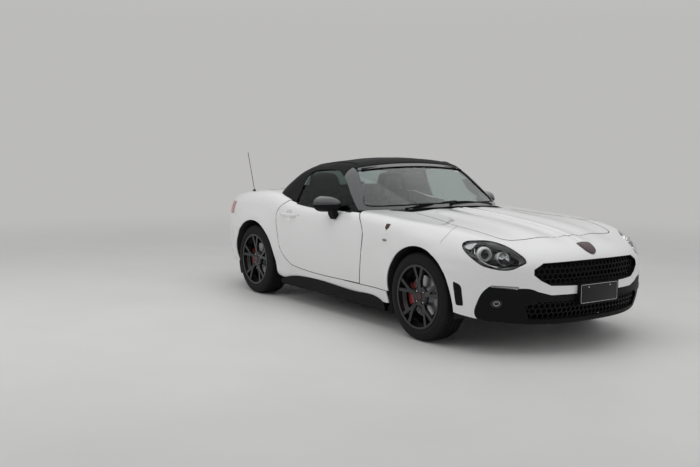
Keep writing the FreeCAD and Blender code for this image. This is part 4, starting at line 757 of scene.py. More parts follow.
@dataclass
class Studio:
    """The pale floor, the soft lights and the camera."""

    camera_place: Point = (-4.70401, -5.88141, 1.37704)
    yaw: float = 0.9627342
    pitch: float = -0.1038078
    roll: float = 0.0097263
    focal: float = 45.932
    floor_radius: float = 60.0
    floor_colour: Colour = (0.74, 0.735, 0.725)
    wall_colour: Colour = (0.5, 0.497, 0.492)
    sky: float = 0.42
    ceiling: float = 1.15

    def stand_camera(self) -> None:
        """Places the camera at the photograph's viewpoint."""
        data = bpy.data.cameras.new("view_camera")
        data.sensor_width = 36.0
        data.lens = self.focal
        data.clip_start = 0.05
        data.clip_end = 200.0
        camera = bpy.data.objects.new("view_camera", data)
        bpy.context.scene.collection.objects.link(camera)
        level = math.cos(self.pitch)
        ahead = Vector((level * math.cos(self.yaw), level * math.sin(self.yaw), math.sin(self.pitch)))
        right = Vector((math.sin(self.yaw), -math.cos(self.yaw), 0.0))
        up = right.cross(ahead)
        turned_right = right * math.cos(self.roll) + up * math.sin(self.roll)
        turned_up = up * math.cos(self.roll) - right * math.sin(self.roll)
        turn = Matrix((turned_right, turned_up, -ahead)).transposed().to_4x4()
        camera.matrix_world = Matrix.Translation(Vector(self.camera_place)) @ turn
        bpy.context.scene.camera = camera

    def seen(self, shader: Shader) -> bpy.types.NodeSocket:
        """Says whether a ray comes from the camera, a reflection or through glass.

        Args:
            shader: The material under construction.

        Returns:
            A share that is 1 for such rays.
        """
        light = shader.add("ShaderNodeLightPath", {}).outputs
        first = shader.add(
            "ShaderNodeMath", {0: light["Is Camera Ray"], 1: light["Is Glossy Ray"]}, operation="MAXIMUM",
        ).outputs[0]
        return shader.add(
            "ShaderNodeMath", {0: first, 1: light["Is Transmission Ray"]}, operation="MAXIMUM",
        ).outputs[0]

    def lay_floor(self) -> None:
        """Lays a pale floor that fades into the background far off."""
        rows = [
            [Vector((r * math.cos(a), r * math.sin(a), 0.0)) for a in [math.pi * i / 36 for i in range(72)]]
            for r in (0.02, 4, 9, 20, self.floor_radius)
        ]
        mesh = bpy.data.meshes.new("floor")
        form = grid(rows, round_u=True)
        form.faces.append(tuple(range(72)))
        mesh.from_pydata([tuple(p) for p in form.points], [], form.faces)
        floor = bpy.data.objects.new("floor", mesh)
        bpy.context.scene.collection.objects.link(floor)
        shader = Shader("floor_screed")
        shader.join(
            "Base Color",
            shader.blend(shader.noise(1.2, 6.0), self.floor_colour, tuple(0.95 * c for c in self.floor_colour)),
        )
        shader.join("Roughness", shader.spread(shader.noise(6.0, 5.0), 0.45, 0.6))
        reach = shader.add("ShaderNodeVectorMath", {0: shader.place}, operation="LENGTH").outputs["Value"]
        far = shader.add(
            "ShaderNodeMapRange", {"Value": reach, "From Min": 3.6, "From Max": 10.0},
            interpolation_type="SMOOTHSTEP",
        ).outputs["Result"]
        share = shader.add("ShaderNodeMath", {0: far, 1: self.seen(shader)}, operation="MULTIPLY").outputs[0]
        glow = shader.add("ShaderNodeEmission", {"Color": (*self.wall_colour, 1.0), "Strength": 1.0})
        mix = shader.add("ShaderNodeMixShader", {0: share, 1: shader.surface.outputs[0], 2: glow.outputs[0]})
        shader.tree.links.new(mix.outputs[0], shader.tree.nodes["Material Output"].inputs["Surface"])
        mesh.materials.append(shader.material)

    def light_sky(self) -> None:
        """Gives the world a plain soft light and a pale backdrop."""
        world = bpy.data.worlds.new("studio_sky")
        bpy.context.scene.world = world
        world.use_nodes = True
        tree = world.node_tree
        tree.nodes.clear()
        shader = Shader.__new__(Shader)
        shader.tree = tree
        shader.place = tree.nodes.new("ShaderNodeTexCoord").outputs["Generated"]
        height = shader.add("ShaderNodeSeparateXYZ", {"Vector": shader.place}).outputs["Z"]
        ramp = shader.add("ShaderNodeValToRGB", {"Fac": height})
        ramp.color_ramp.elements[0].position = 0.12
        ramp.color_ramp.elements[0].color = (*self.wall_colour, 1.0)
        ramp.color_ramp.elements[1].position = 0.75
        ramp.color_ramp.elements[1].color = (self.ceiling, self.ceiling, self.ceiling, 1.0)
        knee = ramp.color_ramp.elements.new(0.4)
        knee.color = (0.6, 0.6, 0.6, 1.0)
        backdrop = shader.add("ShaderNodeBackground", {"Color": ramp.outputs["Color"], "Strength": 1.0})
        light = shader.add("ShaderNodeBackground", {"Color": (0.98, 0.99, 1.0, 1.0), "Strength": self.sky})
        mix = shader.add(
            "ShaderNodeMixShader", {0: self.seen(shader), 1: light.outputs[0], 2: backdrop.outputs[0]},
        )
        shader.add("ShaderNodeOutputWorld", {"Surface": mix.outputs[0]})

    def hang_lamps(self) -> None:
        """Hangs three large soft lamps over and beside the car."""
        for name, place, size, power in (
            ("roof_lamp", (-0.6, -0.8, 5.0), (7.0, 4.5), 105.0),
            ("side_lamp", (-6.0, 1.5, 3.2), (4.0, 2.6), 55.0),
            ("nose_lamp", (1.5, -7.0, 3.4), (4.0, 2.4), 40.0),
        ):
            data = bpy.data.lights.new(name, "AREA")
            data.shape = "RECTANGLE"
            data.size, data.size_y = size
            data.energy = power
            lamp = bpy.data.objects.new(name, data)
            lamp.visible_glossy = False
            bpy.context.scene.collection.objects.link(lamp)
            aim = Vector((0.0, 0.0, 0.5)) - Vector(place)
            turn = aim.to_track_quat("-Z", "Y").to_matrix().to_4x4()
            lamp.matrix_world = Matrix.Translation(Vector(place)) @ turn

    def build(self) -> None:
        """Sets up the camera, the floor and the lights."""
        bpy.context.scene.view_settings.view_transform = "Standard"
        self.stand_camera()
        self.lay_floor()
        self.light_sky()
        self.hang_lamps()


class BodyWork:
    """The nodes whose own shape is shown, each with its finish."""

    FINISHES: dict[str, AnyFinish] = {
        **dict.fromkeys(
            [
                "hood", "front_bumper", "front_fenders", "rear_body", "rear_bumper", "trunk_lid", "door_left",
                "door_right",
            ],
            Paints.BODY,
        ),
        **dict.fromkeys(
            ["cowl_panel", "front_apron", "rear_diffuser", "side_skirts", "antenna", "plate_bases"], Paints.TRIM
        ),
        **dict.fromkeys(["upper_grille", "intake_mesh"], Paints.MESH),
        **dict.fromkeys(["windscreen_frame", "mirror_left", "mirror_right"], Paints.GRAPHITE),
        **dict.fromkeys(["windscreen"], Paints.SCREEN),
        **dict.fromkeys(["rear_window", "door_glass_left", "door_glass_right"], Paints.TINTED),
        "tail_lamps": Paints.RED_LENS,
        "headlamps": Paints.BOWL,
        "lamp_lenses": Paints.LENS,
        "soft_top": Paints.CLOTH,
        **dict.fromkeys(["floor_tub", "trunk_tub", "front_rails"], Paints.UNDERSEAL),
        "dashboard": Paints.DASH,
        "steering_wheel": Paints.HIDE,
        "seats": Paints.HIDE,
        "powertrain": Paints.ENGINE,
        "exhaust": Paints.STEEL,
        **dict.fromkeys(
            ["front_suspension", "rear_suspension", "knuckle_left", "knuckle_right"], Paints.DARK_STEEL,
        ),
    }

    def build(self) -> None:
        """Gives every node its finish."""
        finishes = dict(self.FINISHES)
        for axle, (x, y, z) in AXLES.items():
            rings = Finish(
                f"turned_steel_{axle}", "steel", (0.3, 0.3, 0.31), (0.5, 0.5, 0.51),
                Pattern.RINGS, 160.0, 0.0001, (0.28, 0.4), metallic=1.0, centre=(0.0, y, z),
            )
            for side in SIDES:
                finishes[f"wheel_{axle}_{side}"] = Paints.ALLOY
                finishes[f"brake_disc_{axle}_{side}"] = rings
                finishes[f"tyre_{axle}_{side}"] = Paints.RUBBER
        for name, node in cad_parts.items():
            material = Paints.of(finishes[name])
            node.data.materials.clear()
            node.data.materials.append(material)
        log.info("%d nodes have their finish", len(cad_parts))


@dataclass
class RoadTyre:
    """A low road tyre with a ribbed side wall and a cut tread."""

    axle: str
    side: str
    half_width: float = 0.1025
    radius: float = 0.308
    bead: float = 0.2175
    groove_depth: float = 0.0065
    pitches: int = 72
    grooves: tuple[float, ...] = (-0.052, -0.018, 0.018, 0.052)

    def profile(self) -> list[tuple[float, float, bool]]:
        """The tyre's outer section.

        Returns:
            Place across, radius, and whether the lateral cuts reach it.
        """
        half, top = self.half_width, self.radius
        wall = [
            (0.094, self.bead - 0.006), (0.0975, self.bead + 0.004), (0.0985, self.bead + 0.012),
            (0.0965, self.bead + 0.016),
            (half - 0.001, 0.244), (half, 0.252), (half - 0.0006, 0.2535), (half, 0.255), (half - 0.001, 0.264),
            (half - 0.004, 0.276), (half - 0.009, 0.289),
        ]
        left = [(-x, r, False) for x, r in wall]
        tread = [(-0.0905, 0.2975, True), (-0.085, 0.3025, True), (-0.074, 0.3062, True)]
        for groove in self.grooves:
            for across, deep in (
                (-0.0058, 0.0), (-0.0042, self.groove_depth), (0.0042, self.groove_depth), (0.0058, 0.0),
            ):
                place = groove + across
                tread.append((place, top - 0.0013 * (place / 0.074) ** 2 - deep, deep == 0.0))
            tread.append((groove + 0.017, top - 0.0013 * ((groove + 0.017) / 0.074) ** 2, True))
        tread = tread[:-1] + [(0.074, 0.3062, True), (0.085, 0.3025, True), (0.0905, 0.2975, True)]
        right = [(x, r, False) for x, r in wall][::-1]
        return left + tread + right

    def form(self) -> Form:
        """The tyre round its own axis.

        Returns:
            The turned tyre with its tread cut.
        """
        rows = []
        steps = self.pitches * 4
        for x, radius, cut in self.profile():
            row = []
            for i in range(steps):
                slant = round(abs(x) / 0.0145)
                phase = (i + slant) % 4
                deep = self.groove_depth * 0.75 if cut and phase == 0 and abs(x) > 0.02 else 0.0
                angle = 2 * math.pi * i / steps
                row.append(Vector((x, (radius - deep) * math.cos(angle), (radius - deep) * math.sin(angle))))
            rows.append(row)
        return grid(rows, round_u=True, round_v=True)

    def build(self) -> None:
        """Makes the tyre in place of its plain node."""
        x, y, z = AXLES[self.axle]
        place = Matrix.Translation(Vector((x * SIDES[self.side], y, z)))
        name = f"{self.axle}_{self.side}"
        piece = add_piece(
            f"road_tyre_{name}", self.form().moved(place), Paints.RUBBER, f"wheel_{name}", smooth=28.0,
        )
        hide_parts(f"tyre_{name}")


@dataclass
class WheelTrim:
    """The bolts, cap and valve of one wheel, and the red grip over its brake disc."""

    axle: str
    side: str
    bolt_circle: float = 0.1
    face: float = 0.0765
    cap_radius: float = 0.027
    SECTION: ClassVar[tuple[Pair, ...]] = (
        (0.044, 0.079), (0.0485, 0.083), (0.0505, 0.1), (0.0505, 0.148), (0.046, 0.1605),
        (0.0, 0.1618), (-0.0255, 0.1605), (-0.0255, 0.15),
    )

    def bolts(self) -> Form:
        """Four domed hexagon bolts on their circle."""
        form = Form()
        for i in range(4):
            turn = 2 * math.pi * (i + 0.5) / 4
            at = (
                self.face - 0.014, self.bolt_circle / 2 * math.cos(turn), self.bolt_circle / 2 * math.sin(turn),
            )
            place = placed(at, Vector((1.0, 0.0, 0.0)))
            form.merge(prism(circle(0.0088, 6), 0.013, place, 0.002))
            form.merge(prism(circle(0.0062, 16), 0.0165, place, 0.003))
        return form

    def cap(self) -> Form:
        """The domed cap in the hub."""
        r = self.cap_radius
        return lathe(
            [
                (0.06, r), (0.084, r), (0.0862, r - 0.002), (0.0868, r - 0.005), (0.0862, r - 0.006),
                (0.0875, 0.008), (0.0878, 0.0005),
            ],
            32,
        )

    def valve(self) -> Form:
        """The tyre valve at the rim."""
        path = [Vector((0.082, 0.196, 0.0)), Vector((0.092, 0.19, 0.0)), Vector((0.104, 0.184, 0.0))]
        return tube(path, 0.0032, 8)

    def grip(self, disc: float) -> Form:
        """The brake grip, a rounded block that spans the edge of the disc.

        Args:
            disc: The disc's radius.

        Returns:
            The grip behind the wheel's spokes.
        """
        form = Form()
        rows = []
        for i in range(13):
            angle = math.radians(-30.5 + 61 * i / 12)
            ring = []
            for x, r in self.SECTION:
                radius = r if r < 0.115 else disc + r - 0.145
                ring.append(Vector((x, radius * math.cos(angle), radius * math.sin(angle))))
            rows.append(ring)
        form.merge(closed_grid(rows))
        for angle in (-14, 14):
            a = math.radians(angle)
            boss = placed((0.0485, 0.118 * math.cos(a), 0.118 * math.sin(a)), Vector((1.0, 0.0, 0.0)))
            form.merge(prism(circle(0.017, 24), 0.0045, boss, 0.0015))
        return form

    def build(self) -> None:
        """Makes the trim of the wheel and its brake grip."""
        x, y, z = AXLES[self.axle]
        sign = SIDES[self.side]
        place = Matrix.Translation(Vector((x * sign, y, z)))
        name = f"{self.axle}_{self.side}"
        wheel = f"wheel_{name}"
        add_piece(
            f"wheel_bolts_{name}", self.bolts().flipped(sign).moved(place), Paints.CHROME, wheel, smooth=25.0,
        )
        add_piece(f"hub_cap_{name}", self.cap().flipped(sign).moved(place), Paints.SMOKE, wheel)
        add_piece(f"tyre_valve_{name}", self.valve().flipped(sign).moved(place), Paints.SEAL, wheel)
        carrier = f"knuckle_{self.side}" if self.axle == "front" else "body"
        grip = self.grip(0.145 if self.axle == "front" else 0.14)
        add_piece(f"brake_grip_{name}", grip.flipped(sign).moved(place), Paints.CALIPER, carrier)


@dataclass
class Headlamp:
    """The lamp behind one raked cover: mask, projector, reflector and light strip."""

    side: str
    outline: tuple[Pair, ...] = (
        (0.732, 0.734), (0.678, 0.737), (0.613, 0.725), (0.572, 0.698), (0.551, 0.665), (0.535, 0.634),
        (0.54, 0.606),
        (0.591, 0.581), (0.639, 0.563), (0.7, 0.562), (0.763, 0.582), (0.788, 0.615), (0.799, 0.661),
        (0.788, 0.7),
    )
    projector: Point = (0.716, -1.683, 0.651)
    projector_way: Point = (0.32, -0.93, 0.16)
    reflector: Point = (0.634, -1.765, 0.628)
    reflector_way: Point = (0.16, -0.97, 0.14)

    def edge(self) -> list[Vector]:
        """The cover's outline seen from the front, ahead of the car."""
        return smooth_path([(x, -2.2, z) for x, z in self.outline], 5, closed=True)

    def band(self, outer: float, inner: float, sink: float) -> Form:
        """A band under the cover, between two shares of its outline.

        Args:
            outer: The band's outer share of the outline.
            inner: Its inner share.
            sink: How far it lies under the cover's outside.

        Returns:
            The band.
        """
        edge = self.edge()
        centre = Vector((0.668, -2.2, 0.648))
        rows = []
        for i in range(5):
            share = outer + (inner - outer) * i / 4
            deep = sink + 0.02 * (i / 4) ** 2
            points = [centre + (p - centre) * share for p in edge]
            rows.append(Surface.follow(["lamp_lenses"], points, Vector((0.0, 1.0, 0.0)), -deep))
        return grid(rows, round_u=True)

    def bowl(self, radius: float, depth: float, lobes: int) -> Form:
        """A reflector bowl whose wall is cut in facets.

        Args:
            radius: Its radius at the mouth.
            depth: Its depth.
            lobes: Facets round it.

        Returns:
            The bowl, open towards +Z.
        """
        rows = []
        for k in range(9):
            share = k / 8
            row = []
            for i in range(lobes * 4):
                angle = 2 * math.pi * i / (lobes * 4)
                ripple = 1 - 0.035 * (i % 4 in (1, 2)) * (1 + (k % 2))
                r = radius * (1.0 - 0.72 * share**1.5) * ripple
                row.append(Vector((r * math.cos(angle), r * math.sin(angle), -depth * share)))
            rows.append(row)
        form = grid(rows, round_u=True)
        wide = lobes * 4
        form.faces.append(tuple(range(8 * wide, 9 * wide))[::-1])
        return form

    @staticmethod
    def turned(profile: Sequence[Pair], place: Matrix) -> Form:
        """Turns a profile of height and radius round the placement's Z axis."""
        spin = Matrix(((0.0, 1.0, 0.0, 0.0), (0.0, 0.0, 1.0, 0.0), (1.0, 0.0, 0.0, 0.0), (0.0, 0.0, 0.0, 1.0)))
        return lathe(profile, 40).moved(place @ spin)

    def build(self) -> None:
        """Makes the lamp's inner pieces."""
        sign = SIDES[self.side]
        side = self.side
        eye = placed(self.projector, Vector(self.projector_way))
        ring = self.turned(
            [
                (-0.03, 0.039), (0.004, 0.041), (0.0065, 0.0395), (0.0065, 0.036), (0.0, 0.033),
                (-0.004, 0.0305), (-0.03, 0.0295),
            ], eye
        )
        ball = self.turned(
            [
                (-0.022, 0.0005), (-0.02, 0.027), (-0.012, 0.029), (-0.002, 0.0255), (0.006, 0.0175),
                (0.0105, 0.008), (0.0115, 0.0004),
            ],
            eye,
        )
        cup = placed(self.reflector, Vector(self.reflector_way))
        lip = self.turned(
            [(-0.034, 0.044), (0.0, 0.0455), (0.0025, 0.044), (0.0, 0.0415), (-0.034, 0.0405)], cup,
        )
        bulb = self.turned([(-0.034, 0.0075), (-0.014, 0.0075), (-0.008, 0.005), (-0.006, 0.0005)], cup)
        shroud = self.turned(
            [
                (-0.012, 0.0405), (-0.004, 0.0425), (-0.006, 0.048), (-0.014, 0.0535), (-0.034, 0.0545),
                (-0.034, 0.0405),
            ],
            eye,
        )
        add_piece(f"lamp_mask_{side}", self.band(0.985, 0.8, 0.0075).flipped(sign), Paints.GLOSS, "body")
        add_piece(f"lamp_step_{side}", self.band(0.8, 0.72, 0.0275).flipped(sign), Paints.BOWL, "body")
        add_piece(f"projector_shroud_{side}", shroud.flipped(sign), Paints.SATIN, "body")
        add_piece(f"projector_ring_{side}", ring.flipped(sign), Paints.SATIN, "body")
        add_piece(f"projector_lens_{side}", ball.flipped(sign), Paints.LENS, "body")
        add_piece(
            f"reflector_bowl_{side}", self.bowl(0.041, 0.034, 12).moved(cup).flipped(sign), Paints.CHROME,
            "body", smooth=12.0,
        )
        add_piece(f"reflector_lip_{side}", lip.flipped(sign), Paints.SATIN, "body")
        add_piece(f"reflector_bulb_{side}", bulb.flipped(sign), Paints.CHROME, "body")
        arc = smooth_path(
            [
                (0.752, -2.2, 0.7), (0.77, -2.2, 0.664), (0.765, -2.2, 0.622), (0.74, -2.2, 0.592),
                (0.7, -2.2, 0.581),
            ],
            8,
        )
        strip = Surface.follow(["lamp_lenses"], arc, Vector((0.0, 1.0, 0.0)), -0.024)
        add_piece(f"light_strip_{side}", tube(strip, 0.003, 8).flipped(sign), Paints.SATIN, "body")
        corner = [(0.782, 0.682), (0.778, 0.7), (0.752, 0.715), (0.722, 0.722), (0.744, 0.706), (0.768, 0.686)]
        outline = smooth_path([(x, -2.2, z) for x, z in corner], 4, closed=True)
        glint = Surface.pad(["lamp_lenses"], outline, Vector((0.0, 1.0, 0.0)), -0.014, 3)
        add_piece(f"corner_reflector_{side}", glint.flipped(sign), Paints.CLEAR, "body")


@dataclass
class NoseTrim:
    """Small pieces on the front bumper and the apron."""

    badge: tuple[Pair, ...] = (
        (-0.062, 0.704), (-0.03, 0.709), (0.0, 0.711), (0.03, 0.709), (0.062, 0.704), (0.056, 0.672),
        (0.034, 0.65),
        (0.0, 0.638), (-0.034, 0.65), (-0.056, 0.672),
    )
    slot: tuple[Pair, ...] = (
        (-1.53, 0.462), (-1.55, 0.461), (-1.568, 0.455), (-1.582, 0.444), (-1.589, 0.428), (-1.593, 0.39),
        (-1.597, 0.33),
        (-1.592, 0.315), (-1.57, 0.312), (-1.548, 0.314), (-1.542, 0.33), (-1.536, 0.4),
    )
    strip: tuple[Pair, ...] = ((0.602, 0.436), (0.737, 0.45), (0.734, 0.461), (0.6, 0.4545))
    fog: Point = (0.708, -2.2, 0.347)
    fog_radius: float = 0.027

    @staticmethod
    def round_outline(points: Sequence[Vector], steps: int = 4) -> list[Vector]:
        """A smooth closed outline through points."""
        return smooth_path([tuple(p) for p in points], steps, closed=True)

    def build(self) -> None:
        """Makes the badge plate, the slots, the strip backs and the fog lamps."""
        ahead = Vector((0.0, 1.0, 0.0))
        shield = self.round_outline([Vector((x, -2.3, z)) for x, z in self.badge])
        add_piece(
            "nose_badge_rim", Surface.pad(["front_bumper"], shield, ahead, 0.0035, 4, 0.001), Paints.GLOSS,
            "body",
        )
        centre = sum(shield, Vector()) / len(shield)
        inner = [centre + (p - centre) * 0.84 for p in shield]
        add_piece(
            "nose_badge_field", Surface.pad(["front_bumper"], inner, ahead, 0.0052, 4, 0.0015), Paints.SMOKE,
            "body",
        )
        for side, sign in SIDES.items():
            across = Vector((-1.0, 0.0, 0.0))
            corners = self.round_outline([Vector((1.2, y, z)) for y, z in self.slot])
            add_piece(
                f"bumper_slot_{side}", Surface.pad(["front_bumper"], corners, across, 0.0014).flipped(sign),
                Paints.TRIM, "body",
            )
            strip = [Vector((x, -2.3, z)) for x, z in self.strip]
            lenses = ["lamp_lenses"]
            back = Surface.pad(lenses, strip, ahead, 0.0, 3)
            back = back.moved(Matrix.Translation(Vector((-0.006, 0.0075, 0.0))))
            add_piece(f"marker_back_{side}", back.flipped(sign), Paints.STEEL, "body")
            ribs = Form()
            for i in range(9):
                x = 0.612 + 0.0145 * i
                line = [
                    Vector((x, -2.3, z))
                    for z in (0.4405 + 0.0015 * i, 0.4495 + 0.001 * i, 0.4545 + 0.0008 * i)
                ]
                ribs.merge(tube(Surface.follow(lenses, line, ahead, 0.0002), 0.0013, 6))
            add_piece(f"marker_ribs_{side}", ribs.flipped(sign), Paints.CHROME, "body")
            ring = [
                Vector(self.fog) + Vector((self.fog_radius * math.cos(a), 0.0, self.fog_radius * math.sin(a)))
                for a in [math.pi * i / 16 for i in range(32)]
            ]
            add_piece(
                f"fog_ring_{side}", Surface.pad(["front_apron"], ring, ahead, 0.004, 4).flipped(sign),
                Paints.GLOSS, "body",
            )
            eye = [Vector(self.fog) + (p - Vector(self.fog)) * 0.5 for p in ring]
            rim = Surface.follow(["front_apron"], eye, ahead, 0.0045)
            add_piece(
                f"fog_lens_rim_{side}", tube(rim, 0.0018, 8, closed=True).flipped(sign), Paints.SATIN, "body",
            )
        self.ducts()

    def ducts(self) -> None:
        """Makes the two dark air ducts behind the grille and the lower intake."""
        for name, half, low, high, front, back in (
            ("grille_duct", 0.5, 0.467, 0.612, -1.872, -1.78),
            ("intake_duct", 0.556, 0.212, 0.356, -1.862, -1.74),
        ):
            rows = []
            for share, y in ((1.0, front), (0.97, front + 0.01), (0.82, back), (0.0, back)):
                middle = (low + high) / 2
                rows.append([Vector(
                    (
                        x * 2 * half * share, y,
                        middle + z * 2 * (high - low) / 2 * (0.3 + 0.7 * share if share else 0.0),
                    )
                )
                             for x, z in rounded(1.0, 1.0, 0.12)])
            duct = add_piece(name, grid(rows, round_u=True), Paints.MESH, "body")
            thickness = duct.modifiers.new("wall", "SOLIDIFY")
            thickness.thickness = 0.002
            fins = Form()
            for i in range(15):
                z = low + (high - low) * (i + 1) / 16
                fins.merge(prism(
                    rounded(1.5 * half, 0.0012, 0.0004, 1), 0.008,
                    placed((0.0, back - 0.001, z), Vector((0.0, -1.0, 0.0))),
                ))
            add_piece(f"{name}_fins", fins, Paints.MESH, "body")


@dataclass
class ShutLine:
    """A dark rubber seal in the gap round a door or a lid, laid there as painted shade that darkens the gap."""

    name: str
    node: str
    outline: tuple[Point, ...]
    way: Point
    reach: float = 0.014
    radius: float = 0.0026

    def edge(self, at: Vector, outward: Vector) -> Vector | None:
        """Finds the middle of the gap beside the panel's edge.

        Args:
            at: A point near the edge, clear of the panel.
            outward: The way out of the panel, across the gap.

        Returns:
            The middle of the gap there, a little below the skin, or None.
        """
        inside, outside, found = -self.reach, self.reach, None
        for _ in range(9):
            middle = (inside + outside) / 2
            touched = Surface.touch([self.node], at + outward * middle, Vector(self.way))
            if touched:
                inside, found = middle, touched[0]
            else:
                outside = middle
        return found and found + outward * 0.003 + Vector(self.way) * 0.0016

    def build(self, mirrored: bool) -> None:
        """Lays the seal, a strip of painted shade in the gap, along the panel's edge.

        Args:
            mirrored: Whether the line also runs on the car's right.
        """
        way = Vector(self.way)
        path = smooth_path(self.outline, 8)
        beads = []
        for i in range(len(path)):
            along = path[min(i + 1, len(path) - 1)] - path[max(i - 1, 0)]
            found = self.edge(path[i], way.cross(along).normalized())
            if found:
                beads.append(found)
        form = tube(beads, self.radius, 8)
        if mirrored:
            form.merge(tube(beads, self.radius, 8).flipped(-1))
        add_piece(self.name, form, Paints.SEAL, "body")


class ShutLines:
    """All the gaps of the body that carry a dark seal as painted shade."""

    DOWN: Point = (0.0, 0.0, -1.0)
    IN: Point = (-1.0, 0.0, 0.0)
    HOOD: ClassVar[tuple[Pair, ...]] = (
        (0.0, -1.74), (0.108, -1.739), (0.334, -1.706), (0.48, -1.684), (0.528, -1.655), (0.578, -1.528),
        (0.609, -1.29),
        (0.544, -1.031), (0.486, -0.703),
    )
    BUMPER: ClassVar[tuple[Pair, ...]] = (
        (0.829, -1.366), (0.8, -1.377), (0.773, -1.381), (0.735, -1.37), (0.69, -1.345), (0.609, -1.29),
    )
    TRUNK: ClassVar[tuple[Pair, ...]] = (
        (0.0, 1.232), (0.25, 1.238), (0.5, 1.266), (0.548, 1.33), (0.556, 1.5), (0.535, 1.7), (0.5, 1.85),
    )
    DOOR_FRONT: ClassVar[tuple[Pair, ...]] = (
        (-0.422, 0.299), (-0.45, 0.406), (-0.478, 0.562), (-0.469, 0.711), (-0.4, 0.79), (-0.328, 0.843),
    )
    DOOR_REAR: ClassVar[tuple[Pair, ...]] = (
        (0.683, 0.862), (0.738, 0.815), (0.775, 0.762), (0.765, 0.66), (0.737, 0.563), (0.707, 0.462),
        (0.66, 0.389),
        (0.6, 0.344), (0.553, 0.323),
    )

    def build(self) -> None:
        """Lays the dark seals, painted shade in the gaps, of the hood, the trunk lid and both doors."""
        for name, node, line in (("hood_gap_shade_seal", "hood", self.HOOD), ("trunk_gap_shade_seal", "trunk_lid", self.TRUNK)):
            ShutLine(name, node, tuple((x, y, 1.5) for x, y in line), self.DOWN).build(True)
        down = Vector(self.DOWN)
        # A thin dark tube along the join of the bumper and the fender, as painted shade in the seam.
        seam = smooth_path([(x, y, 1.5) for x, y in self.BUMPER], 10)
        on = Surface.follow(["front_fenders", "front_bumper"], seam, down, -0.0004)
        add_piece(
            "bumper_seam_shade", tube(on, 0.0013, 6).merge(tube(on, 0.0013, 6).flipped(-1)), Paints.SEAL, "body",
        )
        for name, line in (("door_front_gap_shade_seals", self.DOOR_FRONT), ("door_rear_gap_shade_seals", self.DOOR_REAR)):
            ShutLine(name, "door_left", tuple((1.3, y, z) for y, z in line[::-1]), self.IN).build(True)


@dataclass
class NumberPlate:
    """A blank number plate in its tray."""

    name: str
    face: float
    middle: float
    way: float
    width: float = 0.362
    height: float = 0.124

    def build(self) -> None:
        """Makes the plate, its light border and its two screws."""
        facing = Vector((0.0, self.way, 0.0))
        base = placed((0.0, self.face - self.way * 0.0038, self.middle), facing)
        add_piece(
            f"{self.name}_plate", prism(rounded(self.width, self.height, 0.008), 0.0018, base, 0.0006),
            Paints.PLATE, "body",
        )
        outer = [Vector((x, y, 0.0019)) for x, y in rounded(self.width - 0.004, self.height - 0.004, 0.007)]
        border = tube([base @ p for p in outer], 0.0016, 8, closed=True, flat=1.0)
        add_piece(f"{self.name}_plate_border", border, Paints.PLATE_EDGE, "body")
        screws = Form()
        for x in (-0.105, 0.105):
            screws.merge(
                prism(
                    circle(0.0048, 20), 0.0034,
                    placed((x, self.face - self.way * 0.0038, self.middle + 0.043), facing), 0.0014,
                )
            )
        add_piece(f"{self.name}_plate_screws", screws, Paints.CHROME, "body")


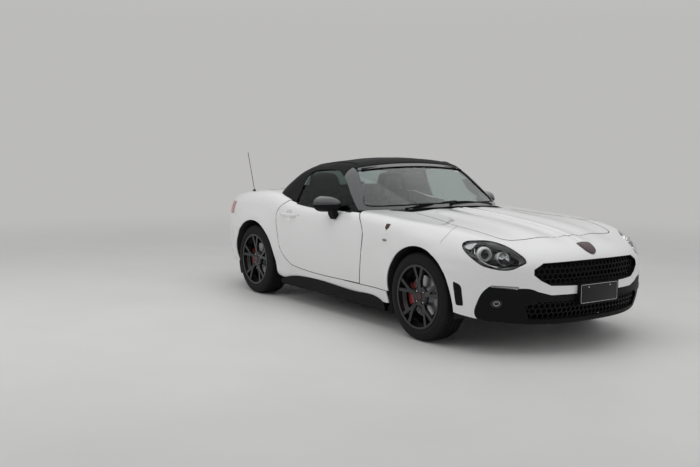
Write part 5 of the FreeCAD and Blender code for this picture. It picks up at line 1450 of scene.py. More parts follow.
@dataclass
class DoorTrim:
    """What a door carries outside and inside, apart from its panel and glass."""

    side: str
    badge: tuple[Pair, ...] = (
        (-0.791, 0.778), (-0.768, 0.781), (-0.745, 0.778), (-0.747, 0.753), (-0.768, 0.736), (-0.789, 0.753),
    )
    repeater: Point = (1.2, -0.77, 0.665)
    shell_split: float = 0.876

    def build(self) -> None:
        """Makes the lock, the mirror glass, the seals, the wing badge and the side repeater."""
        sign = SIDES[self.side]
        door = f"door_{self.side}"
        nodes = ["door_left"]
        across = Vector((-1.0, 0.0, 0.0))
        lock = [
            Vector((1.2, 0.452 + 0.0085 * math.cos(a), 0.751 + 0.0085 * math.sin(a)))
            for a in [math.pi * i / 10 for i in range(20)]
        ]
        add_piece(
            f"door_lock_{self.side}", Surface.pad(nodes, lock, across, 0.0018, 3).flipped(sign), Paints.CHROME,
            door,
        )
        glass = [
            Vector((0.861 + 0.078 * math.cos(a), 0.0045, 0.878 + 0.051 * math.sin(a)))
            for a in [math.pi * i / 24 for i in range(48)]
        ]
        face = Form(glass + [p + Vector((0.0, -0.006, 0.0)) for p in glass], [tuple(range(48))])
        face.faces.append(tuple(range(48, 96))[::-1])
        face.faces += [(i, (i + 1) % 48, 48 + (i + 1) % 48, 48 + i) for i in range(48)]
        add_piece(f"mirror_glass_{self.side}", face.flipped(sign), Paints.CHROME, door)
        belt = [Vector((x, y, 1.2)) for x, y in self.belt()]
        seal = Surface.follow(nodes, belt, Vector((0.0, 0.0, -1.0)), 0.0015)
        add_piece(f"belt_seal_{self.side}", tube(seal, 0.0055, 8).flipped(sign), Paints.SEAL, door)
        shield = [Vector((1.2, y, z)) for y, z in self.badge]
        add_piece(
            f"wing_badge_{self.side}", Surface.pad(["front_fenders"], shield, across, 0.003, 3).flipped(sign),
            Paints.SMOKE, "body",
        )
        x, y, z = self.repeater
        oval = [
            Vector((x, y + 0.027 * math.cos(a), z + 0.0095 * math.sin(a)))
            for a in [math.pi * i / 16 for i in range(32)]
        ]
        add_piece(
            f"side_repeater_{self.side}",
            Surface.pad(["front_fenders"], oval, across, 0.004, 5, 0.003).flipped(sign), Paints.CLEAR, "body",
        )
        self.mirror_base()

    def mirror_base(self) -> None:
        """Makes the black lower shell and foot cover of the door mirror."""
        work = bmesh.new()
        work.from_mesh(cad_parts[f"mirror_{self.side}"].data)
        work.transform(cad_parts[f"mirror_{self.side}"].matrix_world)
        geometry = work.verts[:] + work.edges[:] + work.faces[:]
        cut = Vector((0.0, 0.06, 1.0)).normalized()
        bmesh.ops.bisect_plane(
            work, geom=geometry, plane_co=Vector((0.0, -0.05, self.shell_split)), plane_no=cut,
            clear_outer=True,
        )
        work.normal_update()
        points = [v.co + v.normal * 0.0009 for v in work.verts]
        faces = [tuple(v.index for v in face.verts) for face in work.faces]
        work.free()
        add_piece(f"mirror_base_{self.side}", Form(points, faces), Paints.TRIM, f"door_{self.side}")

    @staticmethod
    def belt() -> list[Pair]:
        """The line along the foot of the side glass, seen from above, from front to rear."""
        return [(0.7635, -0.235 + 0.05 * i) for i in range(17)]


@dataclass
class TailTrim:
    """The rear lamps' rings, the reverse lamps, the rear reflectors, the high brake lamp and the painted shade round
    the fuel flap.
    """

    flap: Point = (1.2, 1.36, 0.776)
    flap_radius: float = 0.068

    def build(self) -> None:
        """Makes every piece of the tail."""
        back = Vector((0.0, -1.0, 0.0))
        for side, sign in SIDES.items():
            rings = Form()
            for wide, high, lift in ((0.074, 0.034, 0.0022), (0.058, 0.024, 0.003), (0.04, 0.014, 0.003)):
                loop = [
                    Vector((0.655 + wide * math.cos(a), 2.3, 0.745 + high * math.sin(a)))
                    for a in [math.pi * i / 32 for i in range(64)]
                ]
                found = Surface.follow(["tail_lamps"], loop, back, lift * 0.4)
                rings.merge(tube(found, 0.0022, 6, closed=True))
            add_piece(f"tail_rings_{side}", rings.flipped(sign), Paints.RED_LENS, "body")
            window = [
                Vector((0.655 + 0.03 * math.cos(a), 2.3, 0.745 + 0.009 * math.sin(a)))
                for a in [math.pi * i / 20 for i in range(40)]
            ]
            add_piece(
                f"reverse_lamp_{side}",
                Surface.pad(["tail_lamps"], window, back, 0.002, 4, 0.001).flipped(sign), Paints.CHROME, "body",
            )
            mark = [Vector((x, 2.3, z)) for x, z in ((0.56, 0.452), (0.72, 0.47), (0.72, 0.489), (0.56, 0.471))]
            add_piece(
                f"rear_reflector_{side}", Surface.pad(["rear_bumper"], mark, back, 0.003, 4).flipped(sign),
                Paints.RED_LENS, "body",
            )
        self.third_lamp()
        self.fuel_flap()

    def third_lamp(self) -> None:
        """The thin high brake lamp on the trunk lid."""
        down = Vector((0.0, 0.0, -1.0))
        bar = [Vector((x, y, 1.3)) for x, y in ((-0.16, 1.812), (0.16, 1.812), (0.16, 1.83), (-0.16, 1.83))]
        points = smooth_path([tuple(p) for p in bar], 6, closed=True)
        add_piece(
            "high_brake_lamp", Surface.pad(["trunk_lid"], points, down, 0.004, 4), Paints.RED_LENS, "trunk_lid",
        )

    def fuel_flap(self) -> None:
        """The dark ring of the round fuel flap's gap on the left rear quarter, painted shade in that gap."""
        across = Vector((-1.0, 0.0, 0.0))
        x, y, z = self.flap
        ring = [
            Vector((x, y + self.flap_radius * math.cos(a), z + self.flap_radius * math.sin(a)))
            for a in [math.pi * i / 32 for i in range(64)]
        ]
        line = Surface.follow(["rear_body"], ring, across, -0.0006)
        add_piece("fuel_flap_gap_shade", tube(line, 0.0022, 6, closed=True), Paints.SEAL, "body")


@dataclass
class SoftTop:
    """The fabric top: one stretched sheet over its bows, with its seams and window band."""

    bows: tuple[float, ...] = (0.048, 0.3, 0.56, 0.8)
    sag: float = 0.0035
    cut: float = 0.028
    thick: float = 0.0022

    def sheet_mesh(self) -> bpy.types.Mesh:
        """Takes the outer face of the top's node as the cut of the cloth.

        Returns:
            A mesh of that face, cut fine enough to sag between the bows.
        """
        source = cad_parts["soft_top"].data
        work = bmesh.new()
        work.from_mesh(source)
        work.faces.ensure_lookup_table()
        inner = []
        for face in work.faces:
            centre = face.calc_center_median()
            core = Vector((centre.x * 0.35, min(max(centre.y, 0.1), 0.62), 0.78))
            if face.normal.dot((centre - core).normalized()) < 0.25:
                inner.append(face)
        bmesh.ops.delete(work, geom=inner, context="FACES")
        for axis, low, high in (((0, 1, 0), 0.04, 1.12), ((1, 0, 0), -0.76, 0.76), ((0, 0, 1), 0.84, 1.22)):
            steps = round((high - low) / self.cut)
            for i in range(1, steps):
                place = low + (high - low) * i / steps
                geometry = work.verts[:] + work.edges[:] + work.faces[:]
                spot = Vector(axis) * place
                bmesh.ops.bisect_plane(work, geom=geometry, plane_co=spot, plane_no=axis)
        bmesh.ops.remove_doubles(work, verts=work.verts, dist=2e-5)
        mesh = bpy.data.meshes.new("soft_top_cloth")
        work.to_mesh(mesh)
        work.free()
        return mesh

    def drop(self, y: float) -> float:
        """How far the cloth sags at a place along the car."""
        for front, rear in zip(self.bows, self.bows[1:]):
            if front < y < rear:
                return self.sag * math.sin(math.pi * (y - front) / (rear - front)) ** 2
        return 0.0

    def build(self) -> None:
        """Makes the cloth, its seams and the band round the rear window."""
        mesh = self.sheet_mesh()
        for vertex in mesh.vertices:
            level = min(1.0, max(0.0, (vertex.co.z - 1.08) / 0.08))
            vertex.co.z -= self.drop(vertex.co.y) * level
        mesh.shade_smooth()
        mesh.materials.clear()
        mesh.materials.append(Paints.of(Paints.CLOTH))
        cloth = bpy.data.objects.new("soft_top_cloth", mesh)
        bpy.context.scene.collection.objects.link(cloth)
        thickness = cloth.modifiers.new("cloth_thickness", "SOLIDIFY")
        thickness.thickness = self.thick
        thickness.offset = -1.0
        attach(cloth, "body")
        seams = self.seams()
        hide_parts("soft_top")
        log.info(
            "soft_top_cloth: %d faces, area %.3f", len(mesh.polygons), sum(face.area for face in mesh.polygons),
        )

    def seams(self) -> list[bpy.types.Object]:
        """Makes the raised seams over the bows and along the roof's sides.

        Returns:
            The seams.
        """
        down = Vector((0.0, 0.0, -1.0))
        pieces = []
        form = Form()
        for y in self.bows[1:3]:
            line = [
                Vector((x, y + 0.012 * (1 - (x / 0.52) ** 2), 1.5))
                for x in [-0.52 + 1.04 * i / 40 for i in range(41)]
            ]
            form.merge(tube(Surface.follow(["soft_top"], line, down, -0.0002), 0.0022, 6, flat=1.0))
        pieces.append(add_piece("bow_seams", form, Paints.CLOTH, "body"))
        form = Form()
        for sign in SIDES.values():
            line = [
                (0.49, 0.06), (0.515, 0.2), (0.52, 0.36), (0.512, 0.52), (0.495, 0.68), (0.475, 0.8),
                (0.47, 0.9), (0.475, 0.99),
            ]
            path = smooth_path([(x * sign, y, 1.5) for x, y in line], 6)
            form.merge(tube(Surface.follow(["soft_top"], path, down, 0.0004), 0.0026, 6))
        pieces.append(add_piece("side_seams", form, Paints.CLOTH, "body"))
        back = Vector((0.0, -1.0, 0.0))
        window = [
            (-0.43, 2.0, 0.957), (0.0, 2.0, 0.951), (0.43, 2.0, 0.957), (0.464, 2.0, 0.99), (0.43, 2.0, 1.09),
            (0.395, 2.0, 1.117), (0.0, 2.0, 1.127), (-0.395, 2.0, 1.117), (-0.43, 2.0, 1.09), (-0.464, 2.0, 0.99),
        ]
        loop = smooth_path(window, 8, closed=True)
        band = Surface.follow(["soft_top", "rear_window"], loop, back, 0.0008)
        pieces.append(add_piece("rear_window_band", tube(band, 0.0045, 8, closed=True), Paints.SEAL, "body"))
        pieces.append(self.front_band())
        return pieces

    def front_band(self) -> bpy.types.Object:
        """Makes the cloth's front edge, which wraps over the screen's header.

        Returns:
            The band.
        """
        down = Vector((0.0, 0.0, -1.0))
        rows = []
        for i in range(45):
            x = -0.55 + 1.1 * i / 44
            glass = Surface.touch(
                ["windscreen"], Vector((x, -2.0, 1.166 - 0.105 * x * x)), Vector((0.0, 1.0, 0.0)),
            )
            front = glass[0].y if glass else -0.06
            front += 0.42 * (0.05 - front)
            row = [Vector((x, front + (0.054 - front) * k / 6, 1.5)) for k in range(7)]
            on = Surface.follow(["windscreen_frame", "soft_top"], row, down, 0.0016)
            if len(on) == 7:
                rows.append(on)
        band = add_piece("top_front_band", grid(rows), Paints.CLOTH, "body")
        thickness = band.modifiers.new("cloth_thickness", "SOLIDIFY")
        thickness.thickness = 0.0022
        thickness.offset = 0.0
        return band


@dataclass
class ScreenTrim:
    """The screen's seal, the wipers, the inner mirror and the pillar and header covers."""

    def wiper(self, pivot: Point, tip: Point, elbow: float) -> tuple[Form, Form]:
        """Builds one wiper along the foot of the screen.

        Args:
            pivot: Its spindle, above the cowl.
            tip: The far end of its blade.
            elbow: The share of the way at which the arm meets the blade.

        Returns:
            The arm and the blade.
        """
        down = Vector((0.0, 0.25, -1.0))
        nodes = ["windscreen", "cowl_panel", "hood", "windscreen_frame", "front_fenders"]
        start, end = Vector(pivot), Vector(tip)
        line = [
            start.lerp(end, i / 24) + Vector((0.0, -0.012 * math.sin(math.pi * i / 24), 0.2))
            for i in range(25)
        ]
        on = Surface.follow(nodes, line, down, 0.0)
        on = [p + Vector((0.0, -0.002, 0.0045)) for p in on]
        reach = int(len(on) * elbow)
        arm_line = [
            p + Vector(
                (0.0, -0.005, 0.006 * math.sin(math.pi * min(1.0, i / max(1, reach - 1))) + 0.004)
            ) for i,
            p in enumerate(on[:reach])
        ]
        arm = tube(arm_line, lambda t: 0.0075 - 0.0038 * t, 8, flat=0.6)
        arm.merge(prism(
            circle(0.0125, 20), 0.016,
            placed(arm_line[0] - Vector((0.0, 0.0, 0.008)), Vector((0.0, -0.2, 1.0))), 0.004,
        ))
        blade = tube(on[3:], 0.0042, 6, flat=1.5)
        return arm, blade

    def build(self) -> None:
        """Makes the screen's trim."""
        arms, blades = Form(), Form()
        for pivot, tip in (
            ((-0.43, -0.552, 0.885), (0.1, -0.528, 0.9)), ((0.0, -0.575, 0.9), (0.57, -0.452, 0.88)),
        ):
            arm, blade = self.wiper(pivot, tip, 0.55)
            arms.merge(arm)
            blades.merge(blade)
        add_piece("wiper_arms", arms, Paints.TRIM, "body")
        add_piece("wiper_blades", blades, Paints.SEAL, "body")
        ahead = Vector((0.0, 1.0, 0.0))
        screen = [
            (-0.655, -2.0, 0.878), (-0.45, -2.0, 0.88), (-0.2, -2.0, 0.888), (0.2, -2.0, 0.888), (0.45, -2.0, 0.88),
            (0.655, -2.0, 0.878), (0.634, -2.0, 0.95), (0.556, -2.0, 1.108), (0.53, -2.0, 1.136), (0.25, -2.0, 1.16),
            (0.0, -2.0, 1.166), (-0.25, -2.0, 1.16), (-0.53, -2.0, 1.136), (-0.556, -2.0, 1.108), (-0.634, -2.0, 0.95),
        ]
        loop = smooth_path(screen, 6, closed=True)
        rim = Surface.follow(["windscreen", "windscreen_frame"], loop, ahead, 0.0008)
        add_piece("screen_seal", tube(rim, 0.0042, 8, closed=True), Paints.SEAL, "body")
        self.pillar_covers()
        mirror = prism(
            rounded(0.235, 0.062, 0.026, 8), 0.022, placed((-0.03, -0.055, 1.078), Vector((0.12, -1.0, -0.12))),
            0.009,
        )
        stalk = tube(
            [Vector((-0.03, -0.06, 1.085)), Vector((-0.015, -0.085, 1.105)), Vector((0.0, -0.1, 1.112))], 0.006,
            8,
        )
        add_piece("inner_mirror", mirror.merge(stalk), Paints.TRIM, "body")
        face = prism(
            rounded(0.222, 0.05, 0.022, 8), 0.0012, placed((-0.03, -0.0535, 1.078), Vector((-0.12, 1.0, 0.12))),
            0.0004,
        )
        add_piece("inner_mirror_glass", face, Paints.CHROME, "body")

    def pillar_covers(self) -> None:
        """Makes the moulded covers inside the screen's pillars and its header."""
        frames = ["windscreen_frame"]
        line = [Vector((0.3, 0.15, 0.9 + 0.215 * i / 14)) for i in range(15)]
        inner = Surface.follow(frames, line, Vector((0.75, -0.66, 0.0)), 0.012)
        inward = Vector((-0.829, 0.559, 0.0))
        rows = []
        for at in inner:
            rows.append([at + inward * (
                0.026 + 0.045 * math.cos(a)
            ) + Vector((0.559, 0.829, 0.0)) * 0.011 * math.sin(a)
                         for a in [math.pi * i / 12 for i in range(24)]])
        for side, sign in SIDES.items():
            add_piece(f"pillar_cover_{side}", grid(rows, round_u=True).flipped(sign), Paints.TRIM, "body")
        line = [Vector((x, 0.1, 0.98)) for x in [-0.5 + i / 30 for i in range(31)]]
        top = Surface.follow(frames, line, Vector((0.0, -0.5, 0.86)), 0.006)
        add_piece("header_cover", tube(top, 0.018, 12), Paints.TRIM, "body")


@dataclass
class Seat:
    """A bucket seat: stuffed base and back with side rolls, sewn channels and a head pad."""

    side: str
    middle: float = 0.37
    width: float = 0.44

    @staticmethod
    def cushion(rows: Sequence[tuple[Vector, Vector, float, float, float]], wide: int = 26) -> Form:
        """Builds a stuffed form from sections along it.

        Args:
            rows: For each section its centre, the way its face looks, its half width, its half
                thickness and how far its side rolls stand up.
            wide: Points round half a section.

        Returns:
            The closed form.
        """
        rings = []
        for centre, face, half, thick, roll in rows:
            ring = []
            for i in range(wide * 2):
                a = math.pi * i / wide
                x = half * math.copysign(abs(math.cos(a)) ** 0.55, math.cos(a))
                up = thick * math.copysign(abs(math.sin(a)) ** 0.7, math.sin(a))
                share = abs(x) / half
                if up > 0:
                    bump = roll * max(0.0, 1 - ((share - 0.82) / 0.2) ** 2)
                    channel = 0.0055 * math.exp(
                        -(((share - 0.6) / 0.035) ** 2)
                    ) + 0.003 * math.exp(-(((share - 0.22) / 0.03) ** 2))
                    up += bump - channel
                ring.append(centre + Vector((x, 0.0, 0.0)) + face * up)
            rings.append(ring)
        return closed_grid(rings)

    def base(self) -> Form:
        """The seat's base cushion."""
        rows = []
        for i in range(25):
            t = i / 24
            y = -0.045 + 0.475 * t
            ends = min(1.0, 6 * min(t, 1 - t) + 0.25) ** 0.5
            sewn = 0.004 * (abs(math.sin(math.pi * t * 6)) < 0.16)
            centre = Vector((self.middle, y, 0.268 - 0.03 * t + 0.012 * math.sin(math.pi * t)))
            rows.append(
                (
                    centre, Vector((0.0, 0.05, 1.0)).normalized(), self.width / 2 * (0.9 + 0.1 * ends),
                    0.062 * ends - sewn, 0.036 * ends,
                )
            )
        return self.cushion(rows)

    def back(self) -> Form:
        """The seat's back, narrower towards the shoulders."""
        rows = []
        low, high = Vector((self.middle, 0.43, 0.27)), Vector((self.middle, 0.598, 0.81))
        face = Vector((0.0, -0.955, 0.297))
        for i in range(29):
            t = i / 28
            ends = min(1.0, 7 * min(t, 1 - t) + 0.2) ** 0.5
            half = self.width / 2 * (1.0 - 0.1 * t - 0.12 * max(0.0, t - 0.75) / 0.25)
            sewn = 0.004 * (abs(math.sin(math.pi * t * 7)) < 0.14 and t < 0.85)
            rows.append(
                (
                    low.lerp(high, t) - face * 0.012, face, half * (0.86 + 0.14 * ends), 0.052 * ends - sewn,
                    0.042 * ends * (1 - 0.5 * t),
                )
            )
        return self.cushion(rows)

    def head(self) -> Form:
        """The head pad at the top of the back."""
        rows = []
        face = Vector((0.0, -0.97, 0.24))
        for i in range(13):
            t = i / 12
            ends = min(1.0, 5 * min(t, 1 - t) + 0.12) ** 0.5
            centre = Vector((self.middle, 0.605 + 0.025 * t, 0.795 + 0.135 * t))
            rows.append((centre, face, 0.118 * (0.72 + 0.28 * ends), 0.036 * ends, 0.0))
        return self.cushion(rows)

    def build(self) -> list[bpy.types.Object]:
        """Makes the seat's cushions, seams and runners.

        Returns:
            The seat's pieces.
        """
        sign = SIDES[self.side]
        pieces = []
        for part, form, fill in (
            ("base", self.base(), 0.75), ("back", self.back(), 0.7), ("head", self.head(), 0.85),
        ):
            piece = add_piece(
                f"seat_{part}_{self.side}", form.flipped(sign), Paints.HIDE, "body", smooth=60.0, subdivide=1,
            )
            pieces.append(piece)
        runners = Form()
        for x in (self.middle - 0.18, self.middle + 0.18):
            runners.merge(
                prism(
                    rounded(0.036, 0.42, 0.006), 0.055,
                    placed((x, 0.21, 0.1605), Vector((0.0, 0.0, 1.0)), Vector((0.0, 1.0, 0.0))), 0.003,
                )
            )
        pieces.append(add_piece(f"seat_runners_{self.side}", runners.flipped(sign), Paints.DARK_STEEL, "body"))
        shell = Form()
        path = smooth_path(
            [
                (self.middle, 0.47, 0.24), (self.middle, 0.53, 0.45), (self.middle, 0.6, 0.68),
                (self.middle, 0.628, 0.79),
            ],
            5,
        )
        rows = []
        for i, p in enumerate(path):
            t = i / (len(path) - 1)
            half = self.width / 2 * (0.94 - 0.16 * t)
            rows.append(
                [
                    p + Vector((half * math.cos(a), 0.016 * math.sin(a) ** 3, 0.0))
                    for a in [2 * math.pi * k / 28 for k in range(28)]
                ]
            )
        shell.merge(closed_grid(rows))
        pieces.append(add_piece(f"seat_shell_{self.side}", shell.flipped(sign), Paints.DASH, "body"))
        return pieces


@dataclass
class Cabin:
    """What the driver sees: the wheel's pad, the dials, the vents, the console and the fittings on the doors' inner
    faces.
    """

    wheel_centre: Point = (-0.37, -0.062, 0.69)
    rake: float = math.radians(24.0)

    def wheel_place(self) -> Matrix:
        """The steering wheel's own frame, with Z towards the driver."""
        facing = Vector((0.0, math.cos(self.rake), math.sin(self.rake)))
        return placed(self.wheel_centre, facing, Vector((0.0, -math.sin(self.rake), math.cos(self.rake))))

    def steering(self) -> None:
        """Makes the pad, the spoke trims and the thumb keys of the steering wheel."""
        place = self.wheel_place()
        pad = prism(
            rounded(0.142, 0.118, 0.048, 8), 0.034, place @ Matrix.Translation(Vector((0.0, -0.004, -0.004))),
            0.016,
        )
        add_piece("steering_pad", pad, Paints.DASH, "steering_wheel")
        trims = Form()
        for x in (-0.112, 0.112):
            trims.merge(
                prism(
                    rounded(0.082, 0.03, 0.009), 0.012, place @ Matrix.Translation(Vector((x, 0.0, 0.002))),
                    0.004,
                )
            )
        trims.merge(
            prism(
                rounded(0.03, 0.07, 0.009), 0.012, place @ Matrix.Translation(Vector((0.0, -0.108, 0.002))),
                0.004,
            )
        )
        add_piece("steering_spoke_trims", trims, Paints.SATIN, "steering_wheel")
        keys = Form()
        for x in (-0.1, -0.124, 0.1, 0.124):
            keys.merge(prism(
                rounded(0.013, 0.013, 0.003), 0.004, place @ Matrix.Translation(Vector((x, 0.002, 0.0135))),
                0.0015,
            ))
        add_piece("steering_keys", keys, Paints.GLOSS, "steering_wheel")
        cap = Headlamp.turned([(0.0295, 0.0235), (0.0315, 0.0225), (0.0325, 0.012), (0.0328, 0.0005)], place)
        add_piece("steering_cap", cap, Paints.CHROME, "steering_wheel")

    def dials(self) -> None:
        """Makes the hooded dials ahead of the steering wheel."""
        facing = Vector((0.0, 0.96, 0.28))
        hood = Form()
        rows = []
        for y, size in ((-0.33, 1.0), (-0.262, 1.0), (-0.246, 0.97), (-0.262, 0.93), (-0.3, 0.93)):
            rows.append(
                [
                    Vector((
                        -0.37 + 0.158 * size * math.cos(a), y + 0.012 * math.sin(a),
                        0.79 + 0.075 * size * math.sin(a),
                    ))
                    for a in [math.pi * i / 20 for i in range(21)]
                ]
            )
        hood.merge(grid(rows))
        add_piece("dial_hood", hood, Paints.DASH, "body")
        faces, rims, marks = Form(), Form(), Form()
        for x, r in ((-0.37, 0.052), (-0.468, 0.037), (-0.272, 0.037)):
            place = placed((x, -0.285, 0.79), facing)
            faces.merge(prism(circle(r, 40), 0.003, place, 0.0005))
            rims.merge(Headlamp.turned(
                [(0.0, r), (0.008, r + 0.001), (0.01, r - 0.001), (0.004, r - 0.003), (0.0, r - 0.003)], place,
            ))
            for i in range(13):
                a = math.radians(-135 + 270 * i / 12)
                out = Matrix.Translation(
                    Vector((r * 0.82 * math.sin(a), r * 0.82 * math.cos(a), 0.003))
                ) @ Matrix.Rotation(-a, 4, "Z")
                marks.merge(prism(rounded(0.0012, r * 0.16, 0.0004, 1), 0.0008, place @ out))
            needle = Matrix.Translation(
                Vector((0.0, 0.0, 0.004))
            ) @ Matrix.Rotation(math.radians(120), 4, "Z") @ Matrix.Translation(Vector((0.0, r * 0.34, 0.0)))
            marks.merge(prism(rounded(0.0022, r * 0.76, 0.0008, 2), 0.0012, place @ needle))
        add_piece("dial_faces", faces, Paints.DIAL, "body")
        add_piece("dial_rims", rims, Paints.SATIN, "body")
        add_piece("dial_marks", marks, Paints.PLATE_EDGE, "body", smooth=20.0)

    def board(self) -> None:
        """Makes the vents, the middle screen and the heater knobs."""
        facing = Vector((0.0, 0.985, 0.17))
        rings, blades = Form(), Form()
        for x in (-0.575, -0.09, 0.09, 0.575):
            place = placed((x, -0.208, 0.722), facing)
            rings.merge(
                Headlamp.turned(
                    [(-0.004, 0.04), (0.008, 0.041), (0.011, 0.038), (0.008, 0.034), (-0.004, 0.033)], place,
                )
            )
            for i in range(5):
                blades.merge(
                    prism(
                        rounded(0.062 - 0.006 * abs(i - 2) ** 2, 0.0022, 0.0008, 1), 0.012,
                        place @ Matrix.Translation(Vector((0.0, -0.024 + 0.012 * i, -0.006))),
                    )
                )
        add_piece("vent_rings", rings, Paints.SATIN, "body")
        add_piece("vent_blades", blades, Paints.DASH, "body")
        screen = placed((0.0, -0.222, 0.79), Vector((0.0, 0.97, 0.24)))
        add_piece("middle_screen", prism(rounded(0.2, 0.108, 0.01), 0.016, screen, 0.003), Paints.DIAL, "body")
        knobs = Form()
        for x in (-0.05, 0.0, 0.05):
            knobs.merge(
                Headlamp.turned(
                    [(0.0, 0.019), (0.016, 0.018), (0.018, 0.016), (0.018, 0.0005)],
                    placed((x, -0.222, 0.645), Vector((0.0, 0.85, -0.3))),
                )
            )
        add_piece("heater_knobs", knobs, Paints.SATIN, "body")

    def console(self) -> None:
        """Makes the gear lever, its boot, the hand brake and the arm rest."""
        boot = Form()
        rows = []
        for z, r in (
            (0.508, 0.056), (0.52, 0.05), (0.53, 0.051), (0.543, 0.038), (0.552, 0.04), (0.566, 0.026),
            (0.574, 0.027), (0.588, 0.013),
        ):
            rows.append(
                [
                    Vector((r * math.cos(a), -0.02 + r * math.sin(a), z))
                    for a in [2 * math.pi * i / 32 for i in range(32)]
                ]
            )
        boot.merge(closed_grid(rows))
        add_piece("gear_boot", boot, Paints.HIDE, "body")
        knob = closed_grid([[
            Vector((r * math.cos(a), -0.02 + r * math.sin(a), z))
            for a in [2 * math.pi * i / 28 for i in range(28)]
        ]
                            for z, r in (
                                (0.585, 0.006), (0.61, 0.0075), (0.616, 0.017), (0.628, 0.0235),
                                (0.642, 0.0245), (0.653, 0.019), (0.658, 0.008),
                            )])
        add_piece("gear_knob", knob, Paints.HIDE, "body")
        lever = tube(
            [
                Vector((0.058, 0.2, 0.512)), Vector((0.058, 0.12, 0.535)), Vector((0.058, 0.0, 0.562)),
                Vector((0.058, -0.05, 0.572)),
            ],
            lambda t: 0.009 + 0.005 * t, 12,
        )
        add_piece("hand_brake", lever, Paints.HIDE, "body")
        rest = Seat.cushion([(
            Vector((0.0, 0.25 + 0.14 * t, 0.502)), Vector((0.0, 0.0, 1.0)), 0.083 * (0.85 + 0.15 * e),
            0.026 * e, 0.0,
        )
                             for t, e in [
                                 (i / 10, min(1.0, 5 * min(i / 10, 1 - i / 10) + 0.2) ** 0.5)
                                 for i in range(11)
                             ]])
        add_piece("arm_rest", rest, Paints.HIDE, "body", smooth=60.0)

    def door_card(self, side: str) -> None:
        """Makes the inner pull, the arm rest and the speaker ring of a door.

        Args:
            side: The door's side.
        """
        sign = SIDES[side]
        door = f"door_{side}"
        into = Vector((1.0, 0.0, 0.0))

        def on(points: Sequence[Point], lift: float) -> list[Vector]:
            """Lays points on the door's inner face."""
            return Surface.follow(["door_left"], smooth_path(points, 6), into, lift)

        pull = on([(0.3, -0.12, 0.62), (0.3, 0.02, 0.6), (0.3, 0.2, 0.6), (0.3, 0.34, 0.625)], 0.012)
        add_piece(
            f"door_arm_{side}",
            tube(pull, lambda t: 0.024 * min(1.0, 0.45 + 3 * min(t, 1 - t)), 12).flipped(sign), Paints.HIDE,
            door,
        )
        handle = on([(0.3, -0.2, 0.7), (0.3, -0.15, 0.705), (0.3, -0.1, 0.7)], 0.012)
        add_piece(f"door_latch_{side}", tube(handle, 0.006, 8, flat=0.7).flipped(sign), Paints.SATIN, door)
        ring = [
            Vector((0.3, -0.2 + 0.075 * math.cos(a), 0.46 + 0.075 * math.sin(a)))
            for a in [math.pi * i / 24 for i in range(48)]
        ]
        add_piece(
            f"door_speaker_{side}", Surface.pad(["door_left"], ring, into, 0.005, 6, 0.003).flipped(sign),
            Paints.TRIM, door,
        )

    def hoops(self) -> None:
        """Makes the moulded covers of the two roll hoops and the screen between them."""
        covers, insets = Form(), Form()
        corners = [
            (-0.165, 0.0, 0.0), (-0.158, 0.12, 0.0), (-0.125, 0.23, 0.0), (-0.06, 0.262, 0.0), (0.06, 0.262, 0.0),
            (0.125, 0.23, 0.0), (0.158, 0.12, 0.0), (0.165, 0.0, 0.0), (0.08, -0.005, 0.0), (-0.08, -0.005, 0.0),
        ]
        outline = smooth_path(corners, 5, closed=True)
        shape = [(p.x, p.y) for p in outline]
        for sign in (-1, 1):
            place = placed((0.37 * sign, 0.745, 0.826), Vector((0.0, -1.0, 0.1)))
            covers.merge(prism(shape, 0.044, place, 0.012))
            insets.merge(prism([(0.66 * x, 0.035 + 0.72 * y) for x, y in shape], 0.0465, place, 0.004))
        add_piece("hoop_covers", covers, Paints.TRIM, "body")
        add_piece("hoop_insets", insets, Paints.DASH, "body")
        add_piece(
            "wind_screen",
            prism(
                rounded(0.385, 0.15, 0.03), 0.008, placed((0.0, 0.73, 0.905), Vector((0.0, -1.0, 0.1))), 0.003,
            ),
            Paints.MESH, "body",
        )

    def floor(self) -> None:
        """Lays carpet over the cabin's floor."""
        form = Form()
        for sign in SIDES.values():
            rows = [[
                Vector((sign * x, y, 0.1615 + 0.004 + 0.05 * max(0.0, (-0.4 - y) / 0.06) ** 1.5))
                for x in [0.145 + 0.51 * i / 12 for i in range(13)]
            ]
                    for y in [-0.46 + 1.14 * k / 24 for k in range(25)]]
            form.merge(grid(rows))
        carpet = add_piece("cabin_carpet", form, Paints.CARPET, "body")
        thickness = carpet.modifiers.new("pile", "SOLIDIFY")
        thickness.thickness = 0.004
        thickness.offset = 0.0

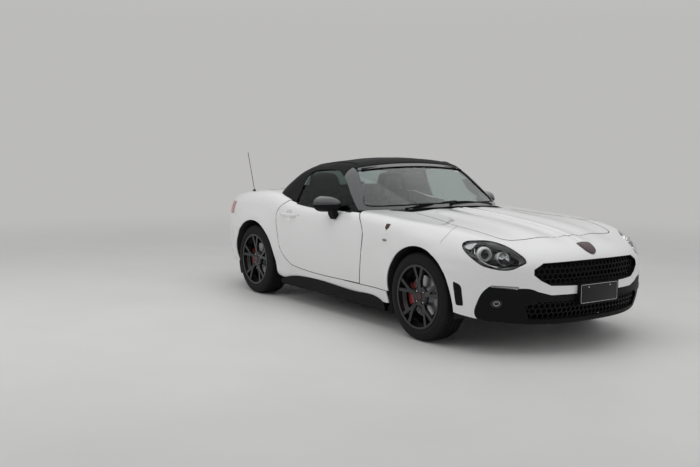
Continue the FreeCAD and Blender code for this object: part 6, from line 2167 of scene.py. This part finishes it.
    def build(self) -> None:
        """Makes the cabin's pieces."""
        self.steering()
        self.dials()
        self.board()
        self.console()
        self.floor()
        self.hoops()
        seats = []
        for side in SIDES:
            self.door_card(side)
            seats += Seat(side).build()
        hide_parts("seats")


@dataclass
class WheelHouse:
    """A dark liner over one wheel."""

    axle: str
    side: str
    radius: float = 0.362
    inner: float = 0.505

    def build(self) -> None:
        """Makes the liner, with its edge along the inside of the arch."""
        _, y, z = AXLES[self.axle]
        sign = SIDES[self.side]
        rows = []
        nodes = ["front_fenders", "front_bumper"] if self.axle == "front" else ["rear_body", "rear_bumper"]
        steps = 40
        lows = (-28.0, 196.0)
        outline = []
        for i in range(steps + 1):
            a = math.radians(lows[0] + (lows[1] - lows[0]) * i / steps)
            outline.append((self.radius * math.cos(a), self.radius * math.sin(a)))
        known = 0.82
        for dy, dz in outline:
            hit = Surface.touch(nodes, Vector((0.3, y + dy * 1.012, z + dz * 1.012)), Vector((1.0, 0.0, 0.0)))
            if hit and 0.6 < hit[0].x < 0.9:
                known = hit[0].x
            reach = known - 0.002
            rows.append([Vector((self.inner + (reach - self.inner) * k / 6, y + dy, z + dz)) for k in range(7)])
        liner = add_piece(
            f"wheel_liner_{self.axle}_{self.side}", grid(rows).flipped(sign), Paints.UNDERSEAL, "body",
        )
        thickness = liner.modifiers.new("wall", "SOLIDIFY")
        thickness.thickness = 0.0025
        thickness.offset = 1.0


def main() -> None:
    """Builds the studio and every sub-assembly, in order."""
    logging.basicConfig(level=logging.INFO, format="%(name)s: %(message)s")
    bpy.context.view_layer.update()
    Studio().build()
    BodyWork().build()
    for axle in AXLES:
        for side in SIDES:
            RoadTyre(axle, side).build()
            WheelTrim(axle, side).build()
            WheelHouse(axle, side).build()
    for side in SIDES:
        Headlamp(side).build()
        DoorTrim(side).build()
    ShutLines().build()
    NoseTrim().build()
    TailTrim().build()
    NumberPlate("front", -2.027, 0.393, -1.0).build()
    NumberPlate("rear", 2.027, 0.56, 1.0).build()
    SoftTop().build()
    ScreenTrim().build()
    Cabin().build()


if __name__ == "__main__":
    main()
